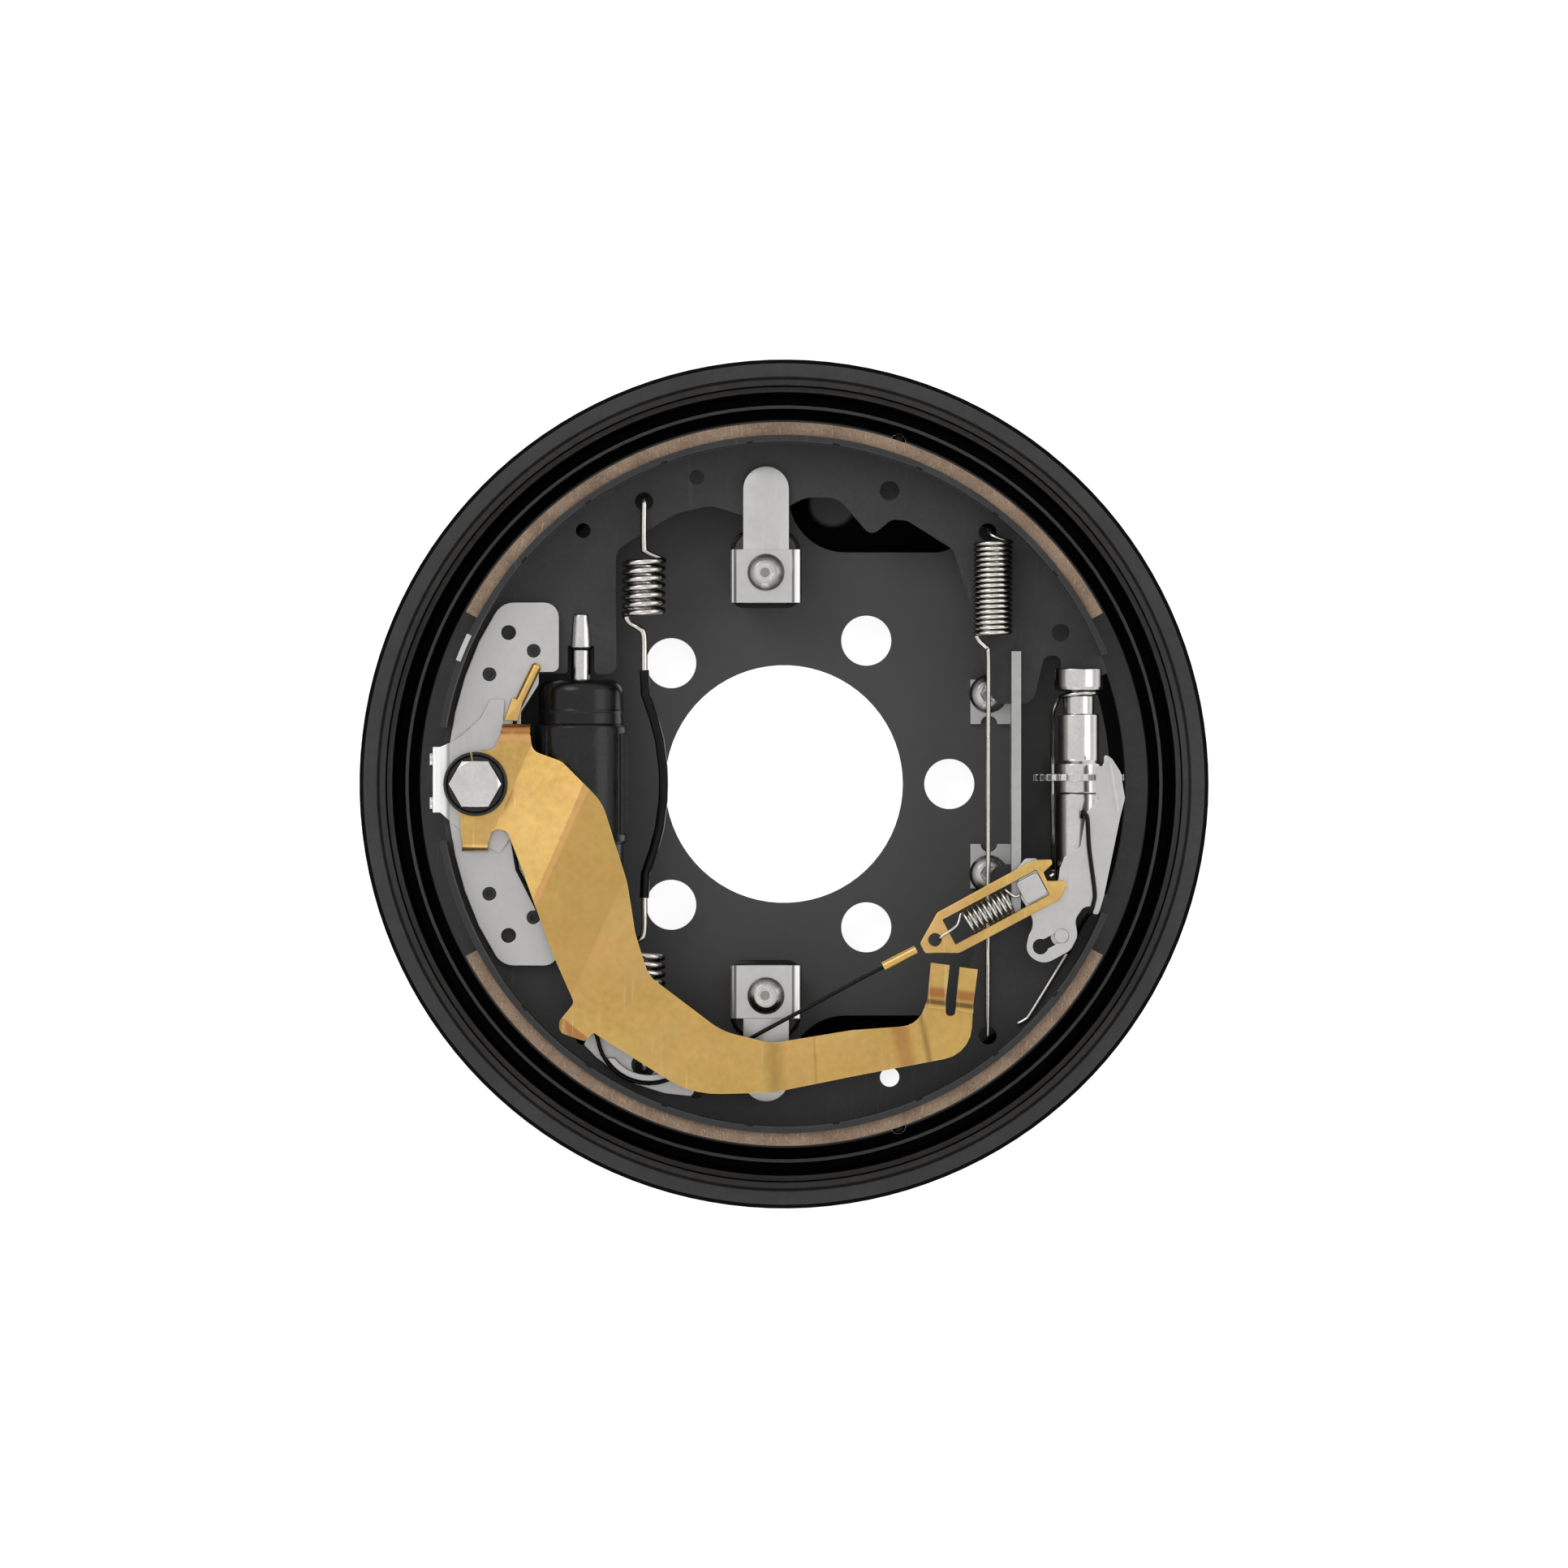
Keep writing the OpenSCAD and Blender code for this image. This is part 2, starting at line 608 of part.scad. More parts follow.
sheath_route = [[-58.5, 38], [-55, 28], [-52.5, 18.5], [-51, 7]];
sheath_half = [for (p = concat([[-58.9, 48]], sheath_route)) [p[0], p[1], left_z]];
sheath_path = concat(sheath_half, [[-50.8, 0, left_z]],
                     [for (i = [len(sheath_half) - 1 : -1 : 0]) [sheath_half[i][0], -sheath_half[i][1], left_z]]);

module left_return_spring() {
    color(zinc) wire(concat(left_half(1), [for (i = [1 : len(sheath_path) - 2]) sheath_path[i]], left_half(-1)),
                     left_wire_r, 8);
}

module spring_sheath() {
    color(rubber) difference() {
        wire(sheath_path, left_wire_r + 0.75, 10);
        wire(concat([[-58.9, 50, left_z]], sheath_path, [[-58.9, -50, left_z]]), left_wire_r + 0.12, 10);
    }
}

module right_return_spring() {
    x = spring_hole_r[0];
    y = spring_hole_r[1];
    z = web_z1 + right_coil_r + right_wire_r + 0.5;
    path = concat(
        [[x, y + 1.5, web_z0 - 1.2], [x, y + 1.4, mid_z], [x, y + 1.2, web_z1 + 2], [x + 0.6, y + 0.4, z - 3.2],
         [x + 2, y - 1.6, z - 0.8], [x + 5, y - 3, z]],
        coil_y([88.1, z], right_coil_r, 102, 63.2, 0, 17.5, 12),
        [[82.4, 60.2, z - 1], [85, 57.6, z - 2.2], [86.2, 54, z - 3], [86.2, 0, z - 3.4], [86, -98, web_z1 + 3.4],
         [86, -101.8, web_z1 + 2.4], [86, -103.8, web_z1 + 0.6], [86, -104.8, web_z0], [86, -105.2, web_z0 - 1.2]]);
    color(zinc) wire(path, right_wire_r, 6);
}

// Adjuster

wheel_y0 = 1.4;
tube_top = -4;

module fork_slot(y0, y1) {
    translate([adjuster_d - 20, y0, web_z0 - slide_c]) cube([40, y1 - y0, web_t + 2 * slide_c]);
}

module adjuster_nut() {
    color(zinc) difference() {
        turned_y(adjuster_d, [[0, -48.8], [tube_r - 0.6, -48.8], [tube_r, -48.2], [tube_r, tube_top - 0.4],
                              [tube_r - 0.4, tube_top], [0, tube_top]]);
        translate([adjuster_d, -40, mid_z]) rotate([-90, 0, 0]) cylinder(r = stem_r + fit_c, h = 60, $fn = 48);
        fork_slot(-60, -44.3);
    }
}

module adjuster_screw() {
    color(zinc) {
        turned_y(adjuster_d, [[0, -36], [stem_r - 0.8, -36], [stem_r, -35.2], [stem_r, tube_top + 0.1], [9.6, tube_top + 0.1],
                              [10, tube_top + 0.5], [10, 8.3], [9, 9.6], [8.7, 10.2], [8.7, 29.1], [8.3, 29.5],
                              [6.6, 29.5], [6.6, 37], [5.8, 38], [5.4, 38.9], [4.4, 38.9], [4.4, 43.6], [0, 43.6]]);
        difference() {
            translate([adjuster_d, wheel_y0, mid_z]) rotate([-90, 0, 0]) cylinder(r = star_r, h = star_t, $fn = 96);
            for (i = [0 : star_teeth - 1])
                translate([adjuster_d, wheel_y0 - 1, mid_z]) rotate([0, (i + 0.5) * 360 / star_teeth, 0])
                    translate([star_r - 3.2, 0, -star_r * PI / star_teeth / 2]) cube([5, star_t + 2, star_r * PI / star_teeth]);
        }
    }
}

module adjuster_cap() {
    color(zinc) difference() {
        turned_y(adjuster_d, [[4.45, 39.3], [8.6, 39.3], [9.8, 39.8], [10.2, 41], [10.2, 48.4], [9.8, 48.8], [0, 48.8],
                              [0, 43.7], [4.45, 43.7]]);
        fork_slot(shoe_tip_y - slide_c, 60);
    }
}

module adjuster_link() {
    x = adjuster_d - 10.6;
    loop = [for (i = [0 : 8]) let (a = -20 + 200 * i / 8)
            [adjuster_d + 7.4 * cos(a), 38.4 - 1.5 * max(0, -cos(a)), mid_z + 7.4 * sin(a)]];
    path = concat(loop,
        [[adjuster_d - 9, 35, mid_z - 2.5], [x, 30, mid_z - 6], [x, 20, mid_z - 14], [x, 10, platform_h + 1.7],
         [x, -6, platform_h + 1.7], [x, -24, mid_z - 12], [x - 0.4, -33, mid_z - 2], [x - 0.4, -37, mid_z + 6],
         [x - 0.4, -37.6, yoke_z0 - 3], [x - 0.8, -38, yoke_z0 + 0.6], [x - 2, -38.8, yoke_z0 + 1.2]]);
    color(zinc) wire(path, 0.65, 8);
}

// Adjuster lever: flat plate with a keyhole pivot, a folded edge and a hook tongue through the yoke

lever_outline = [
    [134.6, 13, 1], [138, 10.6, 3], [141.6, 5, 4], [143.4, -6, 3], [141.4, -14, 2], [134.5, -47.4, 2],
    [132.2, -55, 0.8], [129.9, -54.6, 0.8], [129.9, -51.7, 0.8], [126.4, -51.2, 4], [122.4, -57, 5], [123.6, -64, 6],
    [120.6, -70, 6], [109.5, -76, 7], [101.2, -71.5, 6], [103, -63.5, 4], [105.6, -59.5, 8], [103.2, -53.5, 4],
    [99.6, -48, 1.5], [97.9, -36, 2.5], [101.5, -31.3, 2], [106.2, -31.3, 1], [109.5, -40.6, 1],
    [115.4, -40.9, 1], [116, -35.6, 1], [118, -30.6, 1], [124.6, -26.6, 2], [127.2, -12, 1.5],
    [133.6, -5.2, 1], [131.2, -5.1, 0.4], [131.2, 7.5, 0.4], [133.8, 7.5, 0.4], [134.6, 9, 0.4]];
keyhole = [107.9, -68.4];

function yoke_point(along, across) = yoke_eye + turn([along, across], yoke_dir);

module adjuster_lever() {
    fold = [[136.2, 9], [137.4, 9], [140.9, -11.5], [139.7, -11.5]];
    color(zinc) difference() {
        union() {
            slab(outline(lever_outline), lever_z0, lever_z1);
            slab(outline([for (p = [[41.2, -5], [51, -5], [51, 5], [41.2, 5]]) [yoke_point(p[0], p[1])[0],
                 yoke_point(p[0], p[1])[1], 1.5]]), lever_z1 - 0.5, yoke_z1 + 1.2);
            slab(fold, lever_z1 - 0.5, lever_z1 + 0.7);
        }
        peg(lever_pin, lever_pin_r + fit_c, 0, 80, 48);
        peg(keyhole, 3.3, 0, 80, 48);
        hull_dir = unit(lever_pin - keyhole);
        translate([keyhole[0], keyhole[1], 0]) rotate([0, 0, atan2(hull_dir[1], hull_dir[0])])
            translate([0, -2.2, 0]) cube([norm(lever_pin - keyhole), 4.4, 80]);
    }
}

module lever_pin_stud() {
    color(zinc) {
        peg(lever_pin, lever_pin_r, web_z0 - 1.5, lever_z1 + 0.8, 48);
        peg(lever_pin, 4.6, web_z1, lever_z0 - slide_c, 48);
    }
}

module lever_return_spring() {
    z = lever_z1 + 0.95;
    color(rubber) wire([[125.6, -14, lever_z0 - 1.4], [125.7, -12, lever_z0 + 1], [125.8, -11.8, lever_z1 + 0.5],
        [126.6, -12.6, z + 0.1], [127.6, -15, z], [128.4, -27.6, z],
        [130.6, -44.8, z], [130.2, -50, z], [129, -53.6, z - 0.4], [127.2, -56.2, z - 4], [125.6, -59, z - 9],
        [123.2, -63.8, web_z1 + 4], [119.5, -71.6, web_z1 + 2], [104.7, -95.8, web_z1 + 1.6],
        [101.8, -99.4, web_z1 + 1.4], [98.8, -101, web_z1 + 1.2]], 0.75, 8);
}

module yoke() {
    rim = [[-5, 0, 2], [0.6, 6.2, 4], [13, 9.2, 4], [46.5, 9.9, 3], [55.4, 6.4, 0.8], [53.8, 3.9, 0.8], [47.5, 0.2, 1],
           [53, -1.8, 0.8], [57, -6.6, 1.2], [53.4, -10.2, 3], [10, -10.2, 4], [-3.4, -3.4, 2]];
    color(gold) difference() {
        slab(outline([for (p = rim) [yoke_point(p[0], p[1])[0], yoke_point(p[0], p[1])[1], p[2]]]), yoke_z0, yoke_z1);
        slab([for (p = [[8.5, -5.9], [51.6, -5.9], [51.6, 5.9], [8.5, 5.9]]) yoke_point(p[0], p[1])], 0, 80);
        peg(yoke_eye, 3.1, 0, 80);
    }
}

yoke_spring_z = yoke_z0 + yoke_t / 2;

module yoke_spring() {
    a = yoke_point(14.5, 0);
    coil = [for (i = [0 : 96]) let (t = 360 * i / 12) [16.2 + 18 * i / 96, 4.25 * cos(t), 4.25 * sin(t)]];
    path = concat([[2.4, -1.6, -2.2], [2.2, -0.6, 0.4], [3, 0, 1.7], [7.6, 0.4, 1.8], [12, 1.4, 0.9], [15.4, 4, 0]], coil,
                  [[35, 3, 1.5], [36.6, 1, 1.4], [38.6, 0, 0.6], [40.6, 0, 0]]);
    color(zinc) wire([for (p = path) let (q = yoke_point(p[0], p[1])) [q[0], q[1], yoke_spring_z + p[2]]], 0.55, 6);
}

module tube_between(a, b, r, z) {
    d = b - a;
    translate([a[0], a[1], z]) rotate([0, 0, atan2(d[1], d[0])]) rotate([0, 90, 0]) cylinder(r = r, h = norm(d), $fn = 32);
}

crimp_a = [56.6, -69.2];
crimp_b = [41.8, -76.9];

module yoke_crimp() {
    color(gold) tube_between(crimp_a - [0.9, 0.5], crimp_b, 2, yoke_spring_z);
}

// Cable, its end fitting and its guide

end_a = [-111.6, 35];
end_b = [-104.2, 49.9];

module cable_end_fitting() {
    d = unit(end_b - end_a);
    n = [-d[1], d[0]];
    a = end_a - 7 * d;
    color(gold) {
        tube_between(end_a, end_b, 1.7, cable_z);
        slab([a + 2.4 * n + [-3, 1], end_a + 2.4 * n, end_b - 9 * d + 2.4 * n, end_b - 9 * d + 1 * n, end_a + 1 * n,
              a + 1.1 * n + [-3, 1]], bracket_z1, cable_z + 0.6);
    }
}

cable_route = [[34, -80.9], [26, -85.3], [10, -94], [-13.7, -106.8], [-30, -115.9], [-40, -121.5]];
cable_rise = [[-80.6, -101], [-90, -82], [-105.6, -49.4], [-112.4, -36], [-115.4, -18], [-116, 0], [-114.8, 18], [-112.9, 29.5]];

module adjuster_cable() {
    z0 = yoke_spring_z;
    fall = z0 - cable_z;
    first = crimp_b - [0.2, 0.1];
    wrapped = arc(guide_c, guide_r + cable_r + 0.2, -63, -172, 12);
    down = [for (p = cable_route) [p[0], p[1], cable_z + fall * (p[0] + 45) / (first[0] + 45)]];
    color(rubber) wire(concat([[first[0], first[1], z0]], down, [for (p = wrapped) [p[0], p[1], cable_z]],
        [for (p = cable_rise) [p[0], p[1], cable_z]], [[end_a[0] - 0.15, end_a[1] - 0.3, cable_z]]), cable_r, 8);
}

module cable_guide() {
    base = [[-84.5, -110.1, 1], [-79.3, -115.3, 3], [-71.4, -121.4, 8], [-63.6, -126.4, 10], [-50.4, -130.6, 12],
            [-39.1, -131.8, 1.5], [-36.2, -127.3, 1.5], [-46, -112, 5], [-70, -100, 5], [-80, -99, 3]];
    color(zinc) intersection() {
        union() {
            difference() {
                slab(outline(base), web_z1 + 0.02, web_z1 + 2);
                peg([spring_hole_l[0], 0.9 - spring_hole_l[1]], 5.2, 0, 80, 48);
            }
            difference() {
                peg(guide_c, guide_r, web_z1 + 1, cable_z + 2.6, 64);
                peg(guide_c, guide_r - 2.5, 0, 80, 64);
                translate([guide_c[0] - 30, guide_c[1] - 11, 0]) cube([60, 60, 80]);
            }
        }
        translate([0, 0, 0]) cylinder(r = table_r0 - 0.5, h = 80, $fn = 96);
    }
}

// Park lever: one outline, folded twice over the cylinder and twice more on the way to its fork

park_edge = [
    [-119.1, 21.3, 0.5], [-106.9, 21.3, 1], [-106, 14, 5], [-93.5, 9.5, 8], [-76.5, -7.5, 22], [-66, -41, 30],
    [-62.5, -63, 20], [-57, -80.5, 12], [-26, -104, 30], [-5, -109, 20], [28.7, -103.5, 20], [56.5, -101.5, 11],
    [60.3, -90.2, 0], [67.9, -90.9, 0.6], [68, -97.3, 1.6], [71.8, -97.6, 1.6], [72.3, -91.2, 0],
    [79.5, -92.7, 0], [78.3, -113.5, 14], [28.7, -123, 20], [-5, -129.8, 40], [-39, -130.5, 40], [-76, -107.2, 5],
    [-80.2, -104.4, 1], [-83.6, -108.2, 2], [-94.6, -104.4, 3], [-94.4, -99.6, 2], [-88.2, -92, 3],
    [-97, -72, 10], [-109.5, -38, 15], [-116.5, -20, 3], [-122.6, -18.6, 3], [-124.4, -24.4, 0.5],
    [-135.8, -24.4, 0.5], [-136.5, -13, 3], [-141, -4, 6], [-139.5, 6, 6], [-131, 13.5, 6], [-122, 14.5, 3]];

fold_a = -104.25;
fold_b = -77.4;
fold_turn = -23.4;

// Sheet profile swept along Y, from [along, height] points of its lower face
module sheet_profile(points, y0, y1) {
    n = len(points) - 1;
    low = points;
    high = [for (i = [n : -1 : 0]) [points[i][0], points[i][1] + park_t]];
    translate([0, y1, 0]) rotate([90, 0, 0]) linear_extrude(y1 - y0) polygon(concat(low, high));
}

module park_lever() {
    seam = -30;
    fork_z = arm_z0 + 1;
    finger_z = max(fork_z + 2, yoke_z1 + 1.6);
    color(gold) difference() {
        union() {
            intersection() {
                slab(outline(park_edge), park_z0 - 1, fork_z + 10);
                union() {
                    intersection() {
                        rotate([0, 0, fold_turn]) sheet_profile([[-220, park_z0], [fold_a, park_z0], [fold_b, arm_z0],
                            [60, arm_z0]], -250, 250);
                        translate([-200, -200, 0]) cube([200 + seam, 400, 100]);
                    }
                    sheet_profile([[seam, arm_z0], [-11.7, arm_z0], [-2.1, arm_z0 - 1], [47, arm_z0 - 1],
                                   [56, fork_z], [90, fork_z]], -200, 0);
                }
            }
            for (f = [[[60.3, -90.2], [61.7, -75.1], [69.6, -76.1], [67.9, -90.9]],
                      [[72.3, -91.2], [73.8, -76.9], [81.4, -77.9], [79.5, -92.7]]]) {
                slab(f, finger_z, finger_z + park_t);
                foot = [f[0] - [0, 3.5], f[0], f[3], f[3] - [0, 3.5]];
                slab(foot, fork_z, finger_z + park_t);
            }
            bent_tab([-118.7, -106.9], 21.3, 1);
            bent_tab([-135.6, -124.6], -24.4, -1);
        }
        peg([-anchor_d, 0], bush_r + fit_c, 0, 80, 64);
    }
}

// Ear folded down at the rim of the park lever, from y outward
module bent_tab(x, y, way) {
    translate([x[1], y, park_z1 - park_t]) rotate([0, -90, 0]) linear_extrude(x[1] - x[0]) intersection() {
        circle(r = park_t);
        translate([0, way > 0 ? 0 : -park_t - 1]) square([park_t + 1, park_t + 1]);
    }
}

backing_plate();
inspection_plug();
anchor_post();
anchor_plate();
anchor_plate_screws();
anchor_bracket();
bracket_rivets();
pivot_bush();
anchor_bolt();
lock_ring();
anchor_nut();
cylinder_body();
cylinder_bolts();
bleeder_screw();
cylinder_spring();
piston(false);  // upper_piston
piston(true);  // lower_piston
cup(false);  // upper_cup
cup(true);  // lower_cup
boot(false);  // upper_boot
boot(true);  // lower_boot
pushrod(false);  // upper_pushrod
pushrod(true);  // lower_pushrod
shoe(false);  // upper_shoe
shoe(true);  // lower_shoe
lining(false);  // upper_lining
lining(true);  // lower_lining
hold_down_seat(false);  // upper_hold_down_seat
hold_down_seat(true);  // lower_hold_down_seat
hold_down_leaf(false);  // upper_hold_down_leaf
hold_down_leaf(true);  // lower_hold_down_leaf
hold_down_clip(false);  // upper_hold_down_clip
hold_down_clip(true);  // lower_hold_down_clip
hold_down_screws();
guard_rail();
guard_rail_screws();
left_return_spring();
spring_sheath();
right_return_spring();
adjuster_nut();
adjuster_screw();
adjuster_cap();
adjuster_link();
adjuster_lever();
lever_pin_stud();
lever_return_spring();
yoke();
yoke_spring();
yoke_crimp();
adjuster_cable();
cable_end_fitting();
cable_guide();
park_lever();
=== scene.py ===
import math

import bpy
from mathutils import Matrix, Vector
from mathutils.geometry import tessellate_polygon


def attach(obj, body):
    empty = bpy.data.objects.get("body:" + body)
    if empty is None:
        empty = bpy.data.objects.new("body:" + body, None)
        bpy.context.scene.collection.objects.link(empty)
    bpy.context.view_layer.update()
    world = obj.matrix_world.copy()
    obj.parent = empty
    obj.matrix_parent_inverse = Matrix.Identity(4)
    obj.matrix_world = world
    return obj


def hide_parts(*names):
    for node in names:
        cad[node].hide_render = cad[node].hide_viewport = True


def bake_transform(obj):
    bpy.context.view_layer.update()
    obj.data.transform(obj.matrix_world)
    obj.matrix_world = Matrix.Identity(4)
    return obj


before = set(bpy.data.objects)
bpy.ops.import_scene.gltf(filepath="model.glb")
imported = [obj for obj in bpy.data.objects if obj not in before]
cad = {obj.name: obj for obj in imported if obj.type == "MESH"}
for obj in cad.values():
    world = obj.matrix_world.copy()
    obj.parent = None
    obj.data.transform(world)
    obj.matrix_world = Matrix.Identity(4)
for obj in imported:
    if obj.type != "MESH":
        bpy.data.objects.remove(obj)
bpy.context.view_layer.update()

MM = 0.001


def shade(r, g, b):
    """A colour read in 0 to 255 steps, as a linear RGBA value."""
    def lin(c):
        c /= 255
        return c / 12.92 if c <= 0.04045 else ((c + 0.055) / 1.055) ** 2.4
    return (lin(r), lin(g), lin(b), 1)


# Shader nodes

def put(tree, kind, options=None, **sockets):
    """Adds one shader node. A socket given another node's output is linked, and any other value is set."""
    made = tree.nodes.new("ShaderNode" + kind)
    for name, value in (options or {}).items():
        setattr(made, name, value)
    for name, value in sockets.items():
        socket = made.inputs[name.replace("_", " ")]
        if isinstance(value, bpy.types.NodeSocket):
            tree.links.new(value, socket)
        else:
            socket.default_value = value
    return made


def sum_of(tree, operation, *values):
    """One Math node over its two or three values."""
    made = tree.nodes.new("ShaderNodeMath")
    made.operation = operation
    made.use_clamp = operation == "MULTIPLY_ADD"
    for i, value in enumerate(values):
        if isinstance(value, bpy.types.NodeSocket):
            tree.links.new(value, made.inputs[i])
        else:
            made.inputs[i].default_value = value
    return made.outputs[0]


def band(tree, value, low, high, to_low=0.0, to_high=1.0):
    """The value taken from its low to high band to a new range, clamped."""
    return put(tree, "MapRange", Value=value, From_Min=low, From_Max=high, To_Min=to_low, To_Max=to_high).outputs[0]


def mix_colour(tree, mask, first, second):
    made = tree.nodes.new("ShaderNodeMix")
    made.data_type = "RGBA"
    for i, value in ((0, mask), (6, first), (7, second)):
        if isinstance(value, bpy.types.NodeSocket):
            tree.links.new(value, made.inputs[i])
        else:
            made.inputs[i].default_value = value
    return made.outputs[2]


def effect(name, takes, gives):
    """An empty shader node group with these named inputs and outputs."""
    tree = bpy.data.node_groups.new(name, "ShaderNodeTree")
    kinds = {"v": "NodeSocketFloat", "c": "NodeSocketColor", "n": "NodeSocketVector"}
    for label, kind, value in takes:
        tree.interface.new_socket(label, in_out="INPUT", socket_type=kinds[kind]).default_value = value
    for label, kind in gives:
        tree.interface.new_socket(label, in_out="OUTPUT", socket_type=kinds[kind])
    start, end = tree.nodes.new("NodeGroupInput"), tree.nodes.new("NodeGroupOutput")
    return tree, start.outputs, end.inputs


def cloudy_coat():
    """Two tones of a coat that drift into each other, with a finer clouding over them."""
    tree, takes, gives = effect("cloudy_coat", [("Dark", "c", (0, 0, 0, 1)), ("Pale", "c", (1, 1, 1, 1)),
                                                ("Scale", "v", 40.0)], [("Colour", "c"), ("Tone", "v")])
    place = put(tree, "TexCoord").outputs["Object"]
    wide = put(tree, "TexNoise", Vector=place, Scale=takes["Scale"], Detail=5.0, Roughness=0.62).outputs[0]
    fine = put(tree, "TexNoise", Vector=place, Scale=sum_of(tree, "MULTIPLY", takes["Scale"], 11.0), Detail=3.0).outputs[0]
    tone = band(tree, sum_of(tree, "ADD", sum_of(tree, "MULTIPLY", wide, 0.65), sum_of(tree, "MULTIPLY", fine, 0.35)),
                0.36, 0.64)
    tree.links.new(mix_colour(tree, tone, takes["Dark"], takes["Pale"]), gives["Colour"])
    tree.links.new(tone, gives["Tone"])
    return tree


def orange_peel():
    """The fine unevenness of a dipped coat or a plated sheet, as a height."""
    tree, takes, gives = effect("orange_peel", [("Scale", "v", 900.0), ("Pits", "v", 0.3)], [("Height", "v")])
    place = put(tree, "TexCoord").outputs["Object"]
    skin = put(tree, "TexNoise", Vector=place, Scale=takes["Scale"], Detail=2.0).outputs[0]
    pits = put(tree, "TexVoronoi", Vector=place, Scale=sum_of(tree, "MULTIPLY", takes["Scale"], 0.45)).outputs[0]
    pits = sum_of(tree, "MULTIPLY", band(tree, pits, 0.05, 0.3), takes["Pits"])
    tree.links.new(sum_of(tree, "ADD", skin, pits), gives["Height"])
    return tree


def soft_corner():
    """The small round that a press or a file leaves on an edge: a normal for it, and a mask of where it is."""
    tree, takes, gives = effect("soft_corner", [("Radius", "v", 0.0005)], [("Normal", "n"), ("Edge", "v")])
    round_off = put(tree, "Bevel", {"samples": 6}, Radius=takes["Radius"]).outputs[0]
    flat = put(tree, "NewGeometry").outputs["Normal"]
    near = put(tree, "VectorMath", {"operation": "DOT_PRODUCT"})
    tree.links.new(round_off, near.inputs[0])
    tree.links.new(flat, near.inputs[1])
    tree.links.new(round_off, gives["Normal"])
    tree.links.new(band(tree, near.outputs["Value"], 0.995, 0.86), gives["Edge"])
    return tree


def handling_marks():
    """Thin crossing scratches and rubs, as a mask."""
    tree, takes, gives = effect("handling_marks", [("Scale", "v", 60.0), ("Amount", "v", 0.5)], [("Mask", "v")])
    place = put(tree, "TexCoord").outputs["Object"]
    total = None
    for turn, stretch in ((0.5, 0.05), (2.1, 0.04), (1.2, 0.08)):
        way = put(tree, "Mapping", Vector=place, Rotation=(0, 0, turn), Scale=(1, stretch, 1))
        lines = put(tree, "TexNoise", Vector=way.outputs[0], Scale=sum_of(tree, "MULTIPLY", takes["Scale"], 12.0),
                    Detail=1.0, Distortion=0.3).outputs[0]
        lines = band(tree, lines, 0.69, 0.74)
        total = lines if total is None else sum_of(tree, "MAXIMUM", total, lines)
    where = put(tree, "TexNoise", Vector=place, Scale=takes["Scale"], Detail=2.0).outputs[0]
    where = band(tree, where, 0.45, 0.62)
    tree.links.new(sum_of(tree, "MULTIPLY", sum_of(tree, "MULTIPLY", total, where), takes["Amount"]), gives["Mask"])
    return tree


def settled_dust():
    """Pale dust that lies on what faces up, in drifts, as a mask."""
    tree, takes, gives = effect("settled_dust", [("Amount", "v", 0.2)], [("Mask", "v")])
    place = put(tree, "TexCoord").outputs["Object"]
    up = put(tree, "SeparateXYZ", Vector=put(tree, "NewGeometry").outputs["Normal"]).outputs[2]
    drift = put(tree, "TexNoise", Vector=place, Scale=55.0, Detail=6.0, Roughness=0.7).outputs[0]
    specks = put(tree, "TexVoronoi", Vector=place, Scale=420.0).outputs[0]
    specks = band(tree, specks, 0.16, 0.06)
    laid = sum_of(tree, "ADD", band(tree, drift, 0.5, 0.75), sum_of(tree, "MULTIPLY", specks, 0.5))
    laid = sum_of(tree, "MULTIPLY", laid, band(tree, up, 0.5, 1.0))
    tree.links.new(sum_of(tree, "MULTIPLY", laid, takes["Amount"]), gives["Mask"])
    return tree


def passivate_film():
    """The rainbow film of a passivated zinc coat: three tints that pool over each other."""
    tree, takes, gives = effect("passivate_film", [("Base", "c", (1, 1, 1, 1)), ("Warm", "c", (1, 1, 1, 1)),
                                                   ("Cool", "c", (1, 1, 1, 1)), ("Scale", "v", 30.0)], [("Colour", "c")])
    place = put(tree, "TexCoord").outputs["Object"]
    one = put(tree, "TexNoise", Vector=place, Scale=takes["Scale"], Detail=3.0, Distortion=0.8).outputs[0]
    shifted = put(tree, "Mapping", Vector=place, Location=(0.3, 0.1, 0.7)).outputs[0]
    two = put(tree, "TexNoise", Vector=shifted, Scale=sum_of(tree, "MULTIPLY", takes["Scale"], 1.7), Detail=4.0,
              Distortion=1.4).outputs[0]
    colour = mix_colour(tree, band(tree, one, 0.48, 0.75, 0, 0.6), takes["Base"], takes["Warm"])
    colour = mix_colour(tree, band(tree, two, 0.5, 0.75, 0, 0.4), colour, takes["Cool"])
    tree.links.new(colour, gives["Colour"])
    return tree


def deep_shade():
    """Where painted shade goes on the plate, as a mask: low places in its grooves and steps, by their height over the
    floor, and steep walls.
    """
    tree, takes, gives = effect("deep_shade", [("Low", "v", 0.008), ("High", "v", 0.0115)], [("Mask", "v")])
    height = put(tree, "SeparateXYZ", Vector=put(tree, "TexCoord").outputs["Object"]).outputs[2]
    up = put(tree, "SeparateXYZ", Vector=put(tree, "NewGeometry").outputs["Normal"]).outputs[2]
    low = put(tree, "MapRange", Value=height, From_Min=takes["High"], From_Max=takes["Low"]).outputs[0]
    painted_steep_shade = band(tree, up, 0.93, 0.75)
    tree.links.new(sum_of(tree, "MAXIMUM", low, painted_steep_shade), gives["Mask"])
    return tree


coat, peel, corner, marks, dust, film, deep = (cloudy_coat(), orange_peel(), soft_corner(), handling_marks(),
                                               settled_dust(), passivate_film(), deep_shade())


